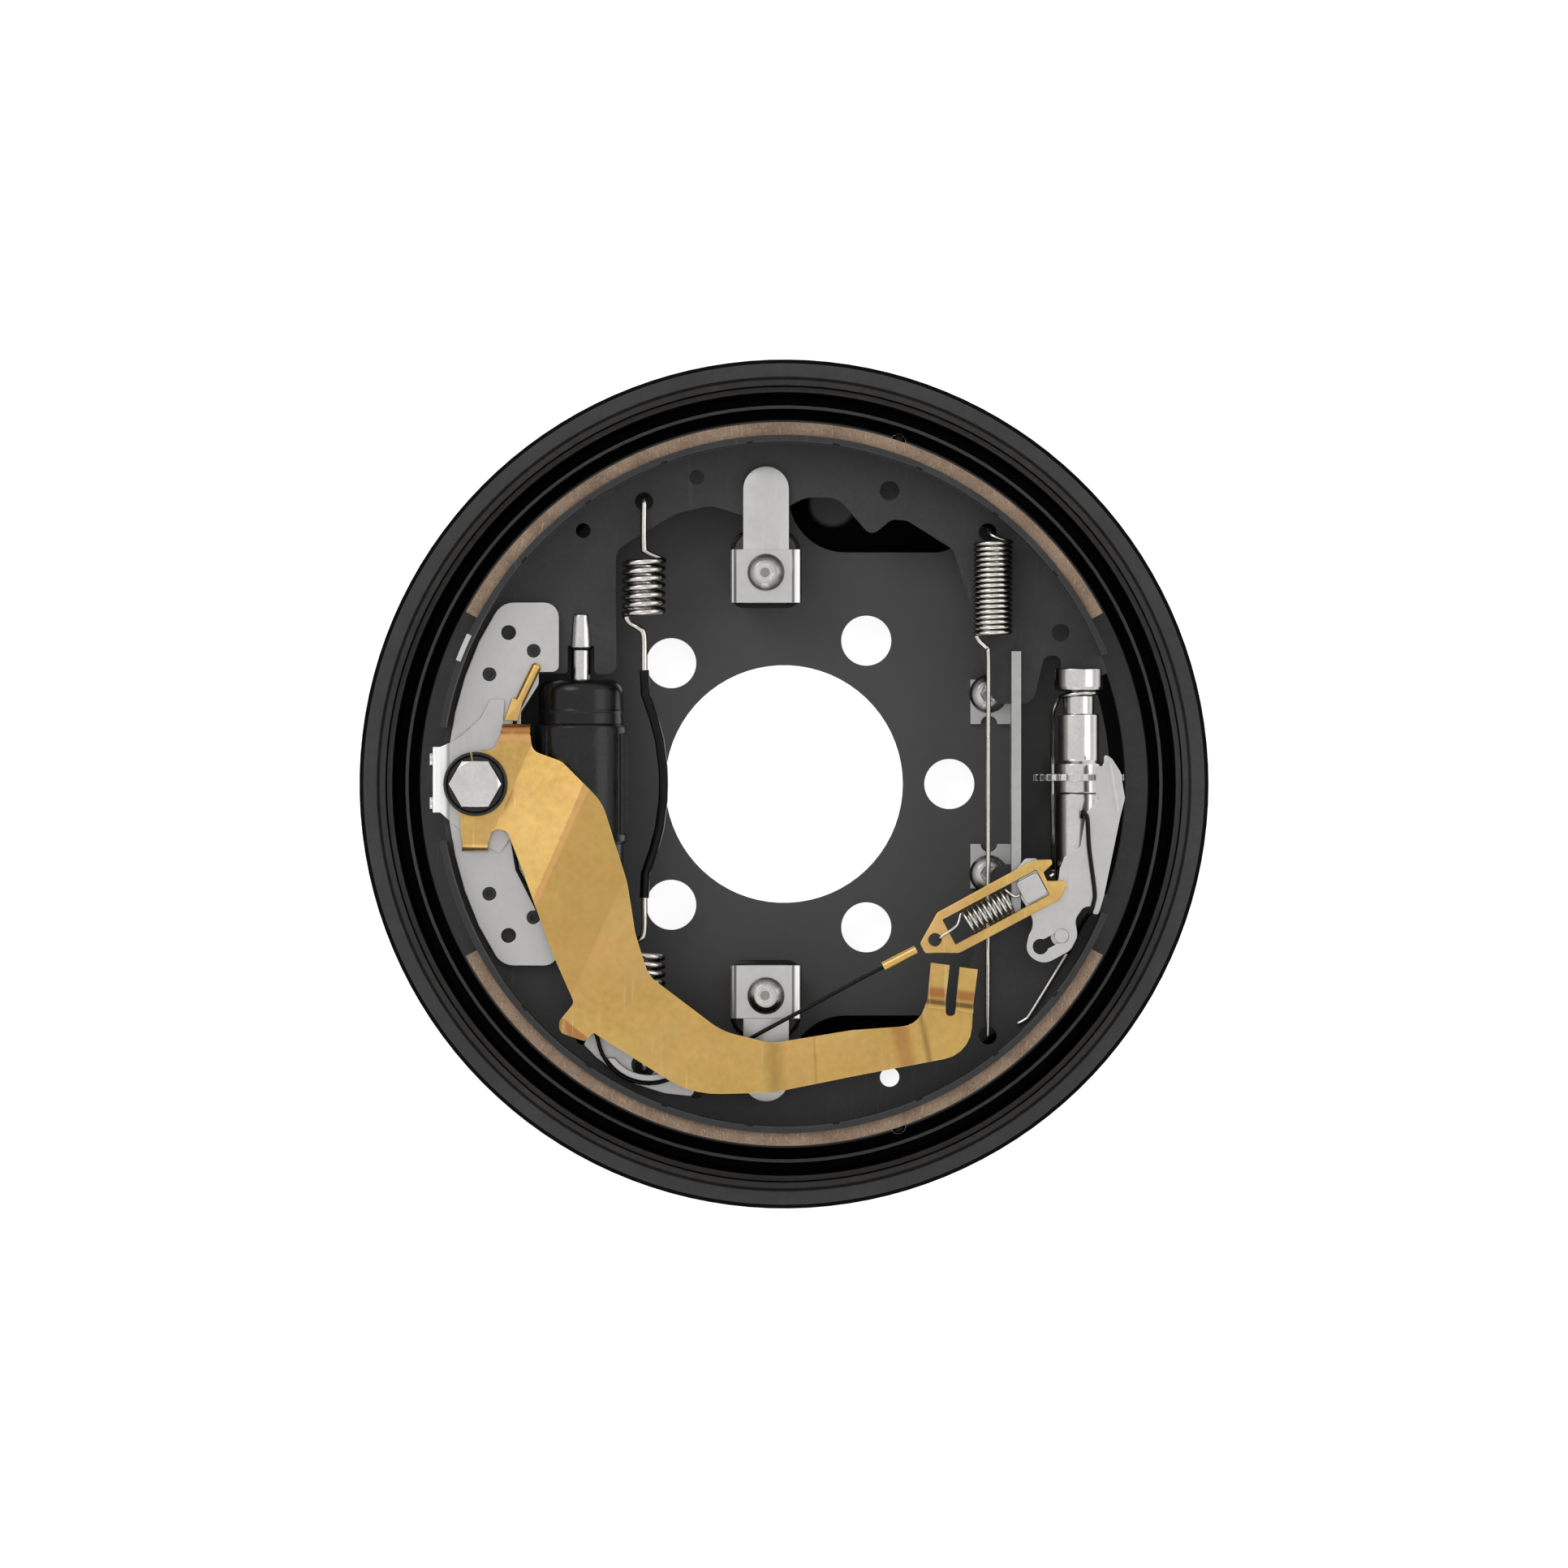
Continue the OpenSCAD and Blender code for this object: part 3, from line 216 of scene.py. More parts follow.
def use(tree, group, **sockets):
    """Places one of the shared effects in a material."""
    made = tree.nodes.new("ShaderNodeGroup")
    made.node_tree = group
    for name, value in sockets.items():
        if isinstance(value, bpy.types.NodeSocket):
            tree.links.new(value, made.inputs[name])
        else:
            made.inputs[name].default_value = value
    return made.outputs


def blank(name):
    """A new material with its Principled BSDF joined to the output."""
    made = bpy.data.materials.new(name)
    made.use_nodes = True
    tree = made.node_tree
    tree.nodes.clear()
    surface = tree.nodes.new("ShaderNodeBsdfPrincipled")
    tree.links.new(surface.outputs[0], tree.nodes.new("ShaderNodeOutputMaterial").inputs[0])
    return made, tree, surface


def finish(name, dark, pale, metal, rough, cloud=40.0, grain=900.0, relief=0.00003, pits=0.3, round_off=0.0005,
           worn=None, wear=0.6, scratch=0.3, scratch_colour=None, dusty=0.0, specular=0.5, tint=None, painted_recess_light=None, painted_side_shade=None, painted_fold_light=(),
           painted_dome_shade=None, painted_rim_shade=None):
    """A plated or coated metal: cloudy colour, fine skin, rounded and worn corners, marks and dust, and where asked,
    painted shade and highlights on sides, folds, domed heads, a rim and the plate's recesses.
    """
    made, tree, surface = blank(name)
    base = use(tree, coat, Dark=dark, Pale=pale, Scale=cloud)
    colour = base["Colour"]
    if tint:
        colour = use(tree, film, Base=colour, Warm=tint[0], Cool=tint[1], Scale=cloud * 0.8)["Colour"]
    edge = use(tree, corner, Radius=round_off)
    # Painted shade: faces that turn away from up get a darker colour, standing in for the dark they reflect.
    if painted_side_shade:
        up = put(tree, "SeparateXYZ", Vector=put(tree, "NewGeometry").outputs["Normal"]).outputs[2]
        painted_steep_shade = sum_of(tree, "MULTIPLY", band(tree, up, 0.86, 0.35), band(tree, up, -0.3, 0.0))
        colour = mix_colour(tree, painted_steep_shade, colour, painted_side_shade)
    place = put(tree, "SeparateXYZ", Vector=put(tree, "TexCoord").outputs["Object"]).outputs
    # Painted light: bands along fold lines get darker or brighter colours, standing in for the shade and highlights of
    # bends.
    for x, y, way_x, way_y, low, high, soft, hue, amount, left in painted_fold_light:
        along = sum_of(tree, "ADD", sum_of(tree, "MULTIPLY", place[0], way_x), sum_of(tree, "MULTIPLY", place[1], way_y))
        start = (x * way_x + y * way_y) * MM
        painted_fold = sum_of(tree, "MULTIPLY", band(tree, along, start + low * MM, start + (low + soft) * MM),
                      band(tree, along, start + high * MM, start + (high - soft) * MM, 0, amount))
        painted_fold = sum_of(tree, "MULTIPLY", painted_fold, band(tree, place[0], left * MM, (left + 0.3) * MM))
        colour = mix_colour(tree, painted_fold, colour, hue)
    # Painted shade: a dark ring round the edge of each domed head, and a dark spot for the shade in its socket.
    if painted_dome_shade:
        side = sum_of(tree, "SUBTRACT", sum_of(tree, "ABSOLUTE", place[1]), painted_dome_shade[1] * MM)
        reach = sum_of(tree, "SQRT", sum_of(tree, "ADD", sum_of(tree, "POWER", sum_of(tree, "SUBTRACT", place[0], painted_dome_shade[0] * MM), 2.0),
                                            sum_of(tree, "POWER", side, 2.0)), 0.0)
        colour = mix_colour(tree, band(tree, reach, 0.48 * painted_dome_shade[2] * MM, 0.92 * painted_dome_shade[2] * MM, 0, 0.85), colour, shade(40, 39, 38))
        colour = mix_colour(tree, band(tree, reach, 0.3 * painted_dome_shade[2] * MM, 0.26 * painted_dome_shade[2] * MM, 0, 0.6), colour, shade(70, 69, 67))
    # Painted shade: outside a radius, the table's front edge is darkened to match the web that lies in shade.
    if painted_rim_shade:
        far = sum_of(tree, "SQRT", sum_of(tree, "ADD", sum_of(tree, "POWER", place[0], 2.0), sum_of(tree, "POWER", place[1], 2.0)), 0.0)
        colour = mix_colour(tree, band(tree, far, 0.1441, 0.1447), colour, painted_rim_shade)
    if worn:
        bare = sum_of(tree, "MULTIPLY", sum_of(tree, "MULTIPLY", edge["Edge"], base["Tone"]), wear)
        colour = mix_colour(tree, bare, colour, worn)
    rub = use(tree, marks, Scale=cloud * 1.2, Amount=scratch)["Mask"]
    if scratch_colour:
        colour = mix_colour(tree, rub, colour, scratch_colour)
    roughness = sum_of(tree, "ADD", band(tree, base["Tone"], 0, 1, rough * 0.82, rough * 1.15),
                       sum_of(tree, "MULTIPLY", rub, -0.1))
    if dusty:
        drift = use(tree, dust, Amount=dusty)["Mask"]
        colour = mix_colour(tree, drift, colour, shade(150, 146, 140))
        roughness = sum_of(tree, "ADD", roughness, sum_of(tree, "MULTIPLY", drift, 0.3))
    # Painted shade and light on the plate: a lighter colour on the floor near the hub and on discs seen through the
    # webs' holes, making up for light that shade takes away; painted black in low places and on steep walls for their
    # shade, except on the ledge ring.
    if painted_recess_light:
        painted_black_mask = use(tree, deep, Low=painted_recess_light[0], High=painted_recess_light[1])["Mask"]
        across = sum_of(tree, "SQRT", sum_of(tree, "ADD", sum_of(tree, "POWER", place[0], 2.0), sum_of(tree, "POWER", place[1], 2.0)))
        floor = sum_of(tree, "MULTIPLY", band(tree, across, 0.139, 0.132), band(tree, place[2], 0.0150, 0.0157))
        colour = mix_colour(tree, floor, colour, painted_recess_light[2])
        for x, y, reach, tone in ((-37.4, 129.3, 6, 122), (116.9, 64.1, 6, 122), (20.5, 119, 9.5, 76)):
            painted_light_disc = sum_of(tree, "SUBTRACT", sum_of(tree, "ABSOLUTE", place[1]), y * MM)
            painted_light_disc = sum_of(tree, "ADD", sum_of(tree, "POWER", painted_light_disc, 2.0),
                         sum_of(tree, "POWER", sum_of(tree, "SUBTRACT", place[0], x * MM), 2.0))
            painted_light_disc = band(tree, sum_of(tree, "SQRT", painted_light_disc), (reach + 1) * MM, (reach - 1) * MM)
            colour = mix_colour(tree, painted_light_disc, colour, shade(tone, tone, tone))
            painted_black_mask = sum_of(tree, "MULTIPLY", painted_black_mask, sum_of(tree, "SUBTRACT", 1.0, painted_light_disc))
        ledge = sum_of(tree, "MULTIPLY", band(tree, across, 0.1445, 0.1452), band(tree, across, 0.1546, 0.1542))
        painted_black_mask = sum_of(tree, "MULTIPLY", painted_black_mask, sum_of(tree, "SUBTRACT", 1.0, ledge))
        colour = mix_colour(tree, painted_black_mask, colour, shade(5, 5, 5))
        roughness = sum_of(tree, "ADD", roughness, sum_of(tree, "MULTIPLY", painted_black_mask, 0.25))
        tree.links.new(band(tree, painted_black_mask, 0, 1, specular, 0.04), surface.inputs["Specular IOR Level"])
    tree.links.new(colour, surface.inputs["Base Color"])
    tree.links.new(roughness, surface.inputs["Roughness"])
    height = use(tree, peel, Scale=grain, Pits=pits)["Height"]
    bump = put(tree, "Bump", Strength=1.0, Distance=relief, Height=height, Normal=edge["Normal"])
    tree.links.new(bump.outputs[0], surface.inputs["Normal"])
    surface.inputs["Metallic"].default_value = metal
    surface.inputs["Specular IOR Level"].default_value = specular
    return made


# The plate's coat has painted black shade in its recesses and a painted lighter floor and discs under the webs.
plate_coat = finish("plate_coat", shade(52, 52, 53), shade(63, 63, 63), 0.0, 0.5, cloud=26, grain=700, relief=0.00002,
                    worn=shade(120, 120, 120), wear=0.3, scratch=0.12, scratch_colour=shade(100, 100, 100), dusty=0.05,
                    specular=0.3, painted_recess_light=(0.008, 0.0112, shade(70, 70, 70)))
# The shoes' coat has painted shade on the table's front edge.
shoe_coat = finish("shoe_coat", shade(50, 50, 51), shade(61, 61, 61), 0.0, 0.45, cloud=34, grain=900, relief=0.00002,
                   worn=shade(120, 120, 120), wear=0.3, scratch=0.15, scratch_colour=shade(104, 104, 104), dusty=0.05,
                   specular=0.3, painted_rim_shade=shade(44, 44, 45))
cast_black = finish("cast_black", shade(12, 12, 13), shade(26, 26, 27), 0.0, 0.24, cloud=60, grain=320, relief=0.00008,
                    pits=0.6, round_off=0.0012, worn=shade(80, 80, 80), wear=0.3, scratch=0.15,
                    scratch_colour=shade(70, 70, 70), specular=0.3)
zinc_sheet = finish("zinc_sheet", shade(184, 183, 181), shade(193, 192, 190), 0.85, 0.34, cloud=30, grain=1100,
                    relief=0.000006, worn=shade(232, 230, 226), wear=0.5, scratch=0.2, scratch_colour=shade(214, 213, 210))
# Painted shade: the sides of turned steel pieces get a darker colour.
turned_steel = finish("turned_steel", shade(190, 189, 187), shade(206, 205, 202), 1.0, 0.2, cloud=60, grain=1500,
                      relief=0.000003, worn=shade(235, 234, 230), scratch=0.2, scratch_colour=shade(228, 227, 224),
                      painted_side_shade=shade(92, 91, 88))
# Painted shade: the sides of the spring wire get a darker colour.
spring_wire = finish("spring_wire", shade(186, 183, 176), shade(208, 205, 197), 1.0, 0.19, cloud=60, grain=1600,
                     relief=0.000003, scratch=0.15, scratch_colour=shade(228, 225, 218), painted_side_shade=shade(84, 81, 75))
gold_zinc = finish("gold_zinc", shade(188, 150, 84), shade(212, 175, 104), 0.85, 0.32, cloud=30, grain=1000,
                   relief=0.00001, worn=shade(228, 204, 142), wear=0.6, scratch=0.3,
                   scratch_colour=shade(226, 204, 150), tint=(shade(206, 160, 112), shade(186, 164, 100)))
# Painted light on the lever below: brown and dusk for the shade at its bends, olive for a facet in shade, and rose for
# a highlight along a fold.
BEND_SHADE, DEEP_BEND_SHADE, FACET_SHADE, BEND_HIGHLIGHT = shade(150, 92, 50), shade(92, 66, 34), shade(176, 140, 72), shade(222, 156, 108)
lever_gold = finish("lever_gold", shade(188, 150, 84), shade(212, 175, 104), 0.85, 0.32, cloud=30, grain=1000,
                    relief=0.00001, worn=shade(228, 204, 142), wear=0.6, scratch=0.3,
                    scratch_colour=shade(226, 204, 150), tint=(shade(206, 160, 112), shade(186, 164, 100)),
                    painted_fold_light=((-82.6, -2.7, 0.91, -0.4146, 0, 30, 0.8, FACET_SHADE, 0.45, -200),
                           (-82.6, -2.7, 0.91, -0.4146, 22, 200, 8, FACET_SHADE, 0.25, -200),
                           (-82.6, -2.7, 0.91, -0.4146, -1.6, 0.6, 0.8, BEND_HIGHLIGHT, 0.55, -200),
                           (-87.5, -101.8, -0.625, -0.78, 0.3, 9, 0.8, BEND_SHADE, 0.7, -200),
                           (0, 20.6, 0, 1, 0, 9, 0.8, BEND_SHADE, 0.75, -200), (0, 17.9, 0, 1, 0, 3, 0.8, BEND_HIGHLIGHT, 0.5, -200),
                           (60.2, -84, -0.12, -1, 0, 6.4, 2, BEND_SHADE, 0.8, 56), (60.2, -84, -0.12, -1, 5.6, 8.8, 1, DEEP_BEND_SHADE, 0.85, 56),
                           (51, -110, 1, 0.2, -6, 4.6, 3.5, BEND_SHADE, 0.5, 40), (51, -110, 1, 0.2, 7, 11, 1.8, DEEP_BEND_SHADE, 0.5, 40),
                           (-4, -110, 1, 0.05, -6, 5, 5, DEEP_BEND_SHADE, 0.34, -40), (12.8, -110, 1, 0.05, -0.9, 0.9, 0.8, DEEP_BEND_SHADE, 0.25, -40)))
# Painted highlights and shade: bright and dark stripes along the rolled sides of the hold-down springs.
rolled_zinc = finish("rolled_zinc", shade(184, 183, 181), shade(193, 192, 190), 0.85, 0.34, cloud=30, grain=1100,
                     relief=0.000006, worn=shade(232, 230, 226), wear=0.5, scratch=0.2, scratch_colour=shade(214, 213, 210),
                     painted_fold_light=((0, 0, 1, 0, -23, -21.3, 0.3, shade(244, 244, 242), 0.9, -200),
                            (0, 0, 1, 0, -21.4, -19.9, 0.3, shade(66, 65, 64), 0.85, -200),
                            (0, 0, 1, 0, 3.2, 4.5, 0.3, shade(88, 87, 86), 0.8, -200),
                            (0, 0, 1, 0, 4.4, 6.9, 0.4, shade(244, 244, 242), 0.9, -200),
                            (0, 0, 1, 0, 6.7, 9, 0.3, shade(40, 40, 40), 0.9, -200)))
rail_zinc = finish("rail_zinc", shade(164, 164, 163), shade(173, 173, 172), 0.85, 0.36, cloud=30, grain=1100,
                   relief=0.000006, worn=shade(214, 213, 210), wear=0.4, scratch=0.2, scratch_colour=shade(196, 195, 192))
# Painted shade: a dark rim and socket on the guard rail's domed screw heads.
domed_steel = finish("domed_steel", shade(190, 189, 187), shade(206, 205, 202), 1.0, 0.2, cloud=60, grain=1500,
                     relief=0.000003, worn=shade(235, 234, 230), scratch=0.2, scratch_colour=shade(228, 227, 224),
                     painted_dome_shade=(85.5, 37.6, 6.4))
# Painted shade: a dark rim and socket on the hold-down screw heads.
hold_steel = finish("hold_steel", shade(190, 189, 187), shade(206, 205, 202), 1.0, 0.2, cloud=60, grain=1500,
                    relief=0.000003, worn=shade(235, 234, 230), scratch=0.2, scratch_colour=shade(228, 227, 224),
                    painted_dome_shade=(-8, 89.2, 7.4))
# Painted shade: the sides of the star wheel screw get a darker colour.
star_steel = finish("star_steel", shade(190, 189, 187), shade(206, 205, 202), 1.0, 0.2, cloud=60, grain=1500,
                    relief=0.000003, worn=shade(235, 234, 230), scratch=0.2, scratch_colour=shade(228, 227, 224),
                    painted_side_shade=shade(150, 149, 146))
# Painted highlight and shade: a bright strip and a dark line along the bracket's folded flange.
bracket_zinc = finish("bracket_zinc", shade(184, 183, 181), shade(193, 192, 190), 0.85, 0.34, cloud=30, grain=1100,
                      relief=0.000006, worn=shade(232, 230, 226), wear=0.5, scratch=0.2,
                      scratch_colour=shade(214, 213, 210),
                      painted_fold_light=((0, 0, 1, 0, -150, -141.9, 1.2, shade(246, 246, 244), 0.9, -200),
                             (0, 0, 1, 0, -142.2, -140.6, 0.5, shade(128, 127, 126), 0.5, -200)))
black_oxide = finish("black_oxide", shade(20, 20, 21), shade(34, 34, 35), 0.2, 0.35, cloud=110, grain=1300,
                     relief=0.00001, worn=shade(96, 94, 92), wear=0.4, scratch=0.2, scratch_colour=shade(80, 79, 78))
black_wire = finish("black_wire", shade(6, 6, 6), shade(14, 14, 14), 0.0, 0.25, cloud=140, grain=1500, relief=0.000005,
                    scratch=0.15, scratch_colour=shade(60, 60, 60), specular=0.15)
aluminium = finish("aluminium", shade(190, 190, 191), shade(208, 208, 208), 1.0, 0.28, cloud=80, grain=1300,
                   relief=0.000005, scratch=0.2, scratch_colour=shade(226, 226, 226))


def rubber(name, dark, pale, rough, bloom):
    """Moulded rubber: a soft sheen with a pale bloom in places."""
    made, tree, surface = blank(name)
    base = use(tree, coat, Dark=dark, Pale=pale, Scale=70.0)
    drift = use(tree, dust, Amount=bloom)["Mask"]
    tree.links.new(mix_colour(tree, drift, base["Colour"], shade(110, 108, 105)), surface.inputs["Base Color"])
    tree.links.new(band(tree, base["Tone"], 0, 1, rough * 0.85, rough * 1.2), surface.inputs["Roughness"])
    height = use(tree, peel, Scale=1200.0, Pits=0.1)["Height"]
    edge = use(tree, corner, Radius=0.0008)["Normal"]
    bump = put(tree, "Bump", Strength=1.0, Distance=0.00002, Height=height, Normal=edge)
    tree.links.new(bump.outputs[0], surface.inputs["Normal"])
    surface.inputs["Specular IOR Level"].default_value = 0.3
    return made


boot_rubber = rubber("boot_rubber", shade(9, 9, 9), shade(18, 18, 19), 0.22, 0.06)
plug_rubber = rubber("plug_rubber", shade(70, 70, 71), shade(96, 96, 97), 0.5, 0.25)


def friction_material():
    """Moulded lining: brown resin with pale fibres, dark grit and bright chips."""
    made, tree, surface = blank("friction_material")
    place = put(tree, "TexCoord").outputs["Object"]
    base = use(tree, coat, Dark=shade(125, 102, 84), Pale=shade(162, 138, 116), Scale=75.0)
    fibres = put(tree, "Mapping", Vector=place, Rotation=(0.3, 0.2, 0.9), Scale=(1, 0.22, 1)).outputs[0]
    fibres = band(tree, put(tree, "TexNoise", Vector=fibres, Scale=1500.0, Detail=1.0).outputs[0], 0.62, 0.7)
    colour = mix_colour(tree, sum_of(tree, "MULTIPLY", fibres, 0.5), base["Colour"], shade(190, 170, 148))
    grit = put(tree, "TexVoronoi", Vector=place, Scale=900.0)
    dark = band(tree, grit.outputs["Distance"], 0.22, 0.14)
    pick = put(tree, "SeparateXYZ", Vector=grit.outputs["Color"]).outputs[0]
    colour = mix_colour(tree, sum_of(tree, "MULTIPLY", dark, band(tree, pick, 0.55, 0.6)), colour, shade(66, 54, 46))
    chips = sum_of(tree, "MULTIPLY", dark, band(tree, pick, 0.12, 0.08))
    colour = mix_colour(tree, chips, colour, shade(214, 190, 140))
    tree.links.new(colour, surface.inputs["Base Color"])
    tree.links.new(sum_of(tree, "MULTIPLY", chips, 0.8), surface.inputs["Metallic"])
    tree.links.new(band(tree, base["Tone"], 0, 1, 0.72, 0.88), surface.inputs["Roughness"])
    height = sum_of(tree, "ADD", use(tree, peel, Scale=520.0, Pits=0.8)["Height"], sum_of(tree, "MULTIPLY", dark, -0.6))
    edge = use(tree, corner, Radius=0.0005)["Normal"]
    bump = put(tree, "Bump", Strength=1.0, Distance=0.00014, Height=height, Normal=edge)
    tree.links.new(bump.outputs[0], surface.inputs["Normal"])
    return made


lining_stuff = friction_material()

FINISHES = {
    "backing_plate": plate_coat,
    "upper_shoe": shoe_coat, "lower_shoe": shoe_coat,
    "upper_lining": lining_stuff, "lower_lining": lining_stuff,
    "cylinder_body": cast_black, "upper_cup": boot_rubber, "lower_cup": boot_rubber,
    "upper_boot": boot_rubber, "lower_boot": boot_rubber, "inspection_plug": plug_rubber,
    "upper_piston": aluminium, "lower_piston": aluminium,
    "anchor_plate_screws": black_oxide, "lock_ring": black_oxide, "guard_rail_screws": domed_steel,
    "anchor_bracket": bracket_zinc, "hold_down_screws": hold_steel, "guard_rail": rail_zinc,
    "spring_sheath": black_wire, "lever_return_spring": black_wire, "adjuster_cable": black_wire,
    "yoke": gold_zinc, "yoke_crimp": gold_zinc, "cable_end_fitting": gold_zinc, "park_lever": lever_gold,
    "anchor_post": turned_steel, "pivot_bush": turned_steel, "anchor_bolt": turned_steel, "anchor_nut": turned_steel,
    "cylinder_bolts": turned_steel, "bleeder_screw": turned_steel, "upper_pushrod": turned_steel,
    "lower_pushrod": turned_steel, "upper_hold_down_seat": shoe_coat, "lower_hold_down_seat": shoe_coat,
    "bracket_rivets": turned_steel,
    "adjuster_nut": turned_steel, "adjuster_screw": star_steel, "adjuster_cap": turned_steel,
    "adjuster_link": turned_steel, "cylinder_spring": spring_wire, "left_return_spring": spring_wire,
    "right_return_spring": spring_wire, "yoke_spring": spring_wire,
}
for name, piece in cad.items():
    piece.data.materials.clear()
    piece.data.materials.append(FINISHES.get(name, zinc_sheet))


# Wire and cable

def smooth_route(points, step):
    """The route through these points, in metres, as a smooth curve with a point about every step."""
    points = [Vector(p) * MM for p in points]
    route = [points[0]]
    for i in range(len(points) - 1):
        before, a, b, after = points[max(i - 1, 0)], points[i], points[i + 1], points[min(i + 2, len(points) - 1)]
        parts = max(1, round((b - a).length / (step * MM)))
        for k in range(1, parts + 1):
            t = k / parts
            route.append(0.5 * (2 * a + (b - before) * t + (2 * before - 5 * a + 4 * b - after) * t * t
                                + (3 * a - before - 3 * b + after) * t ** 3))
    return route


def frames_along(route):
    """A steady pair of side directions at each point of a route."""
    last = len(route) - 1
    tangents = [(route[min(i + 1, last)] - route[max(i - 1, 0)]).normalized() for i in range(last + 1)]
    side = tangents[0].cross(Vector((0.31, 0.87, 0.39))).normalized()
    pairs = []
    for tangent in tangents:
        side = (side - tangent * side.dot(tangent)).normalized()
        pairs.append((side, tangent.cross(side)))
    return pairs


def meshed(name, verts, faces, material, sharp=50):
    """A piece of the scene from its points, in metres, and faces."""
    mesh = bpy.data.meshes.new(name)
    mesh.from_pydata(verts, [], faces)
    mesh.shade_smooth()
    mesh.set_sharp_from_angle(angle=math.radians(sharp))
    piece = bpy.data.objects.new(name, mesh)
    bpy.context.scene.collection.objects.link(piece)
    mesh.materials.append(material)
    return piece


def rounded(corners, steps=6):
    """An outline with each (x, y, radius) corner rounded, in millimetres."""
    made = []
    for i, (x, y, radius) in enumerate(corners):
        here = Vector((x, y))
        back = (Vector(corners[i - 1][:2]) - here).normalized()
        on = (Vector(corners[(i + 1) % len(corners)][:2]) - here).normalized()
        if radius <= 0:
            made.append(here)
            continue
        half = math.acos(max(-1, min(1, back.dot(on)))) / 2
        centre = here + (back + on).normalized() * (radius / math.sin(half))
        first, last = here + back * radius / math.tan(half) - centre, here + on * radius / math.tan(half) - centre
        whole = math.atan2(first.x * last.y - first.y * last.x, first.dot(last))
        for k in range(steps + 1):
            c, w = math.cos(whole * k / steps), math.sin(whole * k / steps)
            made.append(centre + Vector((first.x * c - first.y * w, first.x * w + first.y * c)))
    return made


def cut_plate(name, loops, low, high, material, round_edge=0.25):
    """A flat piece between two heights, from its outline and the outlines of its holes, with its front edge eased."""
    verts, faces, start = [], [], 0
    levels = ((low, 0.0), (high - round_edge, 0.0), (high - round_edge * 0.3, round_edge * 0.3), (high, round_edge))
    tops = []
    for which, loop in enumerate(loops):
        area = sum(a.x * b.y - b.x * a.y for a, b in zip(loop, loop[1:] + loop[:1]))
        inward = 1 if (area > 0) == (which == 0) else -1
        count = len(loop)
        for height, inset in levels:
            for i, point in enumerate(loop):
                along = (loop[(i + 1) % count] - loop[i - 1]).normalized()
                verts.append(Vector((point.x - along.y * inset * inward, point.y + along.x * inset * inward, height)) * MM)
        for level in range(3):
            for i in range(count):
                a, b = start + level * count + i, start + level * count + (i + 1) % count
                faces.append((a, b, b + count, a + count) if area > 0 else (b, a, a + count, b + count))
        tops.append(list(range(start + 3 * count, start + 4 * count)))
        start += 4 * count
    for level, order in ((3, 1), (0, -1)):
        flat = [[index - (3 - level) * len(loop) for index in top] for top, loop in zip(tops, loops)]
        where = [index for ring in flat for index in ring]
        for tri in tessellate_polygon([[verts[index] for index in ring] for ring in flat]):
            tri = [where[t] for t in tri]
            a, b, c = (verts[t] for t in tri)
            up = (b - a).cross(c - a).z > 0
            faces.append(tuple(tri if up == (order > 0) else tri[::-1]))
    return meshed(name, verts, faces, material, 35)


def drawn_wire(name, route, radius, sides, material, ends=True):
    """A round wire along a route, with its two ends broken over."""
    pairs = frames_along(route)
    rings = [(p, pair, radius * MM) for p, pair in zip(route, pairs)]
    if ends:
        run = (route[0] - route[1]).normalized() * radius * MM * 0.45
        rings.insert(0, (route[0] + run, pairs[0], radius * MM * 0.62))
        run = (route[-1] - route[-2]).normalized() * radius * MM * 0.45
        rings.append((route[-1] + run, pairs[-1], radius * MM * 0.62))
    verts, faces = [], []
    for centre, (u, w), r in rings:
        verts += [centre + r * (math.cos(2 * math.pi * j / sides) * u + math.sin(2 * math.pi * j / sides) * w)
                  for j in range(sides)]
    for i in range(len(rings) - 1):
        for j in range(sides):
            a, b = i * sides + j, i * sides + (j + 1) % sides
            faces.append((a, b, b + sides, a + sides))
    faces.append(tuple(range(sides))[::-1])
    faces.append(tuple((len(rings) - 1) * sides + j for j in range(sides)))
    return meshed(name, verts, faces, material)


def turns_along_y(x, z, radius, y0, y1, turns, per):
    """The points of a coil about a line along Y."""
    count = round(turns * per)
    return [(x + radius * math.cos(2 * math.pi * turns * i / count), y0 + (y1 - y0) * i / count,
             z + radius * math.sin(2 * math.pi * turns * i / count)) for i in range(count + 1)]


WEB_Z0, MID_Z, WEB_Z1 = 35.5, 38.0, 40.5

# Left return spring: a coil at each shoe, joined by a straight wire in a black sheath
LEFT_Z = WEB_Z1 + 4.5
left_x, left_y = -59.1, 119.3
left_half = [(left_x, left_y + 1.6, WEB_Z0 - 1.5), (left_x, left_y + 1.4, MID_Z), (left_x, left_y + 1.2, LEFT_Z - 2.5),
             (left_x, left_y + 0.3, LEFT_Z - 0.6), (left_x, left_y - 1.6, LEFT_Z), (left_x, 101, LEFT_Z),
             (left_x + 1.2, 97.6, LEFT_Z)]
left_half += turns_along_y(left_x, LEFT_Z, 8, 94.5, 71.5, 6.5, 14)
left_half += [(left_x - 6, 68.2, LEFT_Z - 1), (left_x - 2, 65.6, LEFT_Z), (left_x, 62.5, LEFT_Z), (-58.9, 48, LEFT_Z)]
sheath_half = [(-58.9, 48, LEFT_Z), (-58.5, 38, LEFT_Z), (-55, 28, LEFT_Z), (-52.5, 18.5, LEFT_Z), (-51, 7, LEFT_Z)]
left_lower = [(x, -y, z) for x, y, z in left_half]
upper_left = drawn_wire("left_return_spring_upper", smooth_route(left_half + sheath_half[1:3], 0.9), 1.35, 12,
                        spring_wire)
